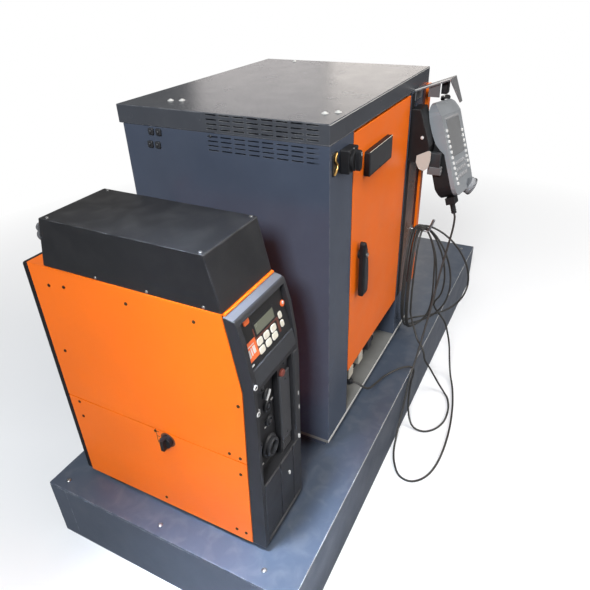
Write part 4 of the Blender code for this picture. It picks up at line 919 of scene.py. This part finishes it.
# Pale rod along the bracket's top edge: a painted highlight
fittings.on(FRONT).tube([(641.2, 901.8, 0.4), (641.2, 920.8, 52.0), (641.2, 939.6, 103.8)], 1.7, 4)
fittings.done("station", "black_plastic")

# The holder's lug, a little shorter than the CAD's, with a strap round it and a bolt
lug = Piece("holder_lug", sheet_grey, soft_grey, screw_metal)
lug.on(face(645, -62, 659)).slab(-10, 10, -12.5, 13, 0.0, 43.0, 0, 2.0, 0.8)
lug.on(face(644, -62, 694)).slab(-8, 8, -23, 24, 0.0, 37.0, 1, 3.0, 1.2)
lug.on(face(645, -104.5, 659)).turned(0, 0, ((7, -1), (7, 1.4), (5, 2.2), (2, 2.4)), 2, 20)
lug = lug.done("station", "grey_sheet")
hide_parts("pendant_lug")

# Boot of the pendant's cable: ribs
boot = Piece("pendant_boot_ribs", deep_black)
boot.on(pendant_place @ Matrix.Translation((-88.0, 0.0, 0.0)))
for z in (-176, -182, -188, -194, -200):
    boot.turned(0, 0, ((8.2, z - 1.6), (9.2, z - 0.6), (9.2, z + 0.6), (8.2, z + 1.6)), 0, 24)
boot.done("station", "black_plastic")

# Cable hook: a round plate at its root
hook = Piece("cable_hook_plate", screw_metal)
hook.on(face(735, 0, 404))
hook.turned(0, 0, ((14, -0.3), (14, 2.2), (12.5, 3.0), (5.2, 3.0)), 0, 32)
hook.done("station", "bright_metal")

# Floor that fades into a white backdrop, and a sky that is cooler at the left and brighter above
FADE_FROM = 1.1
FADE_TO = 2.9
FLOOR_HALF = 9
FLOOR_BOUNCE = (0.22, 0.22, 0.23, 1.0)
WHITE = (1.0, 1.0, 1.0, 1.0)
SKY_WARM = (1.0, 0.98, 0.95)
SKY_COOL = (0.72, 0.82, 1.0)
SKY_LOW = 0.07
SKY_HIGH = 0.42

floor_shade, floor_tree, floor_surface = tree_of("floor", (0.90, 0.90, 0.90), 0.75)
away = node(floor_tree, "VectorMath", {"operation": "LENGTH"}, _0=place_of(floor_tree)).outputs["Value"]
fade = node(floor_tree, "MapRange", _0=away, _1=FADE_FROM, _2=FADE_TO).outputs[0]
white = node(floor_tree, "Emission", Color=WHITE, Strength=1.0)
faded = node(floor_tree, "MixShader", _0=fade, _1=floor_surface.outputs[0], _2=white.outputs[0])
dim = node(floor_tree, "BsdfDiffuse", Color=FLOOR_BOUNCE)
direct = node(floor_tree, "LightPath").outputs["Is Camera Ray"]
shown = node(floor_tree, "MixShader", _0=direct, _1=dim.outputs[0], _2=faded.outputs[0])
floor_tree.links.new(shown.outputs[0], floor_tree.nodes["Material Output"].inputs["Surface"])
sheet = bpy.data.meshes.new("floor")
corners = [(x * FLOOR_HALF, y * FLOOR_HALF, 0) for x, y in ((-1, -1), (1, -1), (1, 1), (-1, 1))]
sheet.from_pydata(corners, [], [(0, 1, 2, 3)])
sheet.materials.append(floor_shade)
floor = bpy.data.objects.new("floor", sheet)
bpy.context.scene.collection.objects.link(floor)

world = bpy.data.worlds.new("world")
world.use_nodes = True
bpy.context.scene.world = world
sky = world.node_tree
backdrop = sky.nodes["Background"]
heading = node(sky, "TexCoord").outputs["Generated"]
parts = node(sky, "SeparateXYZ", _0=heading)
leftward = node(sky, "MapRange", _0=parts.outputs["X"], _1=0.5, _2=-0.9).outputs[0]
upward = node(sky, "MapRange", _0=parts.outputs["Z"], _1=0.0, _2=0.9, _3=SKY_LOW, _4=SKY_HIGH).outputs[0]
sky.links.new(blend(sky, leftward, SKY_WARM, SKY_COOL), backdrop.inputs["Color"])
sky.links.new(upward, backdrop.inputs["Strength"])
seen = node(sky, "Background", Color=WHITE, Strength=1.0)
ray = node(sky, "LightPath").outputs["Is Camera Ray"]
either = node(sky, "MixShader", _0=ray, _1=backdrop.outputs[0], _2=seen.outputs[0])
sky.links.new(either.outputs[0], sky.nodes["World Output"].inputs["Surface"])


def lamp(name, place, target, size, power, colour=(1.0, 1.0, 1.0), gloss_only=False, spread=180.0):
    """A soft square lamp that points at a place; it may show in glossy surfaces only, or be narrow."""
    light = bpy.data.lights.new(name, "AREA")
    light.size = size
    light.energy = power
    light.color = colour
    light.spread = math.radians(spread)
    holder = bpy.data.objects.new(name, light)
    holder.location = place
    holder.rotation_euler = (Vector(target) - Vector(place)).to_track_quat("-Z", "Y").to_euler()
    holder.visible_camera = False
    holder.visible_diffuse = not gloss_only
    bpy.context.scene.collection.objects.link(holder)


lamp("key", (-3.7, -0.95, 3.1), (-0.7, 0.0, 0.6), 0.9, 190.0, (0.94, 0.97, 1.0))
lamp("front", (1.0, -3.9, 2.3), (0.0, -0.2, 0.6), 1.8, 95.0, (1.0, 0.95, 0.90))
lamp("pool", (-1.40, 0.0, 3.4), (-1.02, -0.34, 0.20), 0.35, 5.0, (0.66, 0.78, 1.0), spread=20.0)
lamp("over", (0.6, -1.4, 3.8), (0.0, 0.0, 0.5), 2.2, 40.0)
lamp("window", (4.0, 1.1, 2.0), (0.0, -0.1, 1.2), 1.2, 9.5, (1.0, 0.93, 0.87), True)
lamp("wall", (4.0, 2.6, 2.2), (-0.3, 0.0, 1.2), 1.5, 9.0, (1.0, 0.94, 0.92), True)

bpy.context.scene.view_settings.view_transform = "Standard"
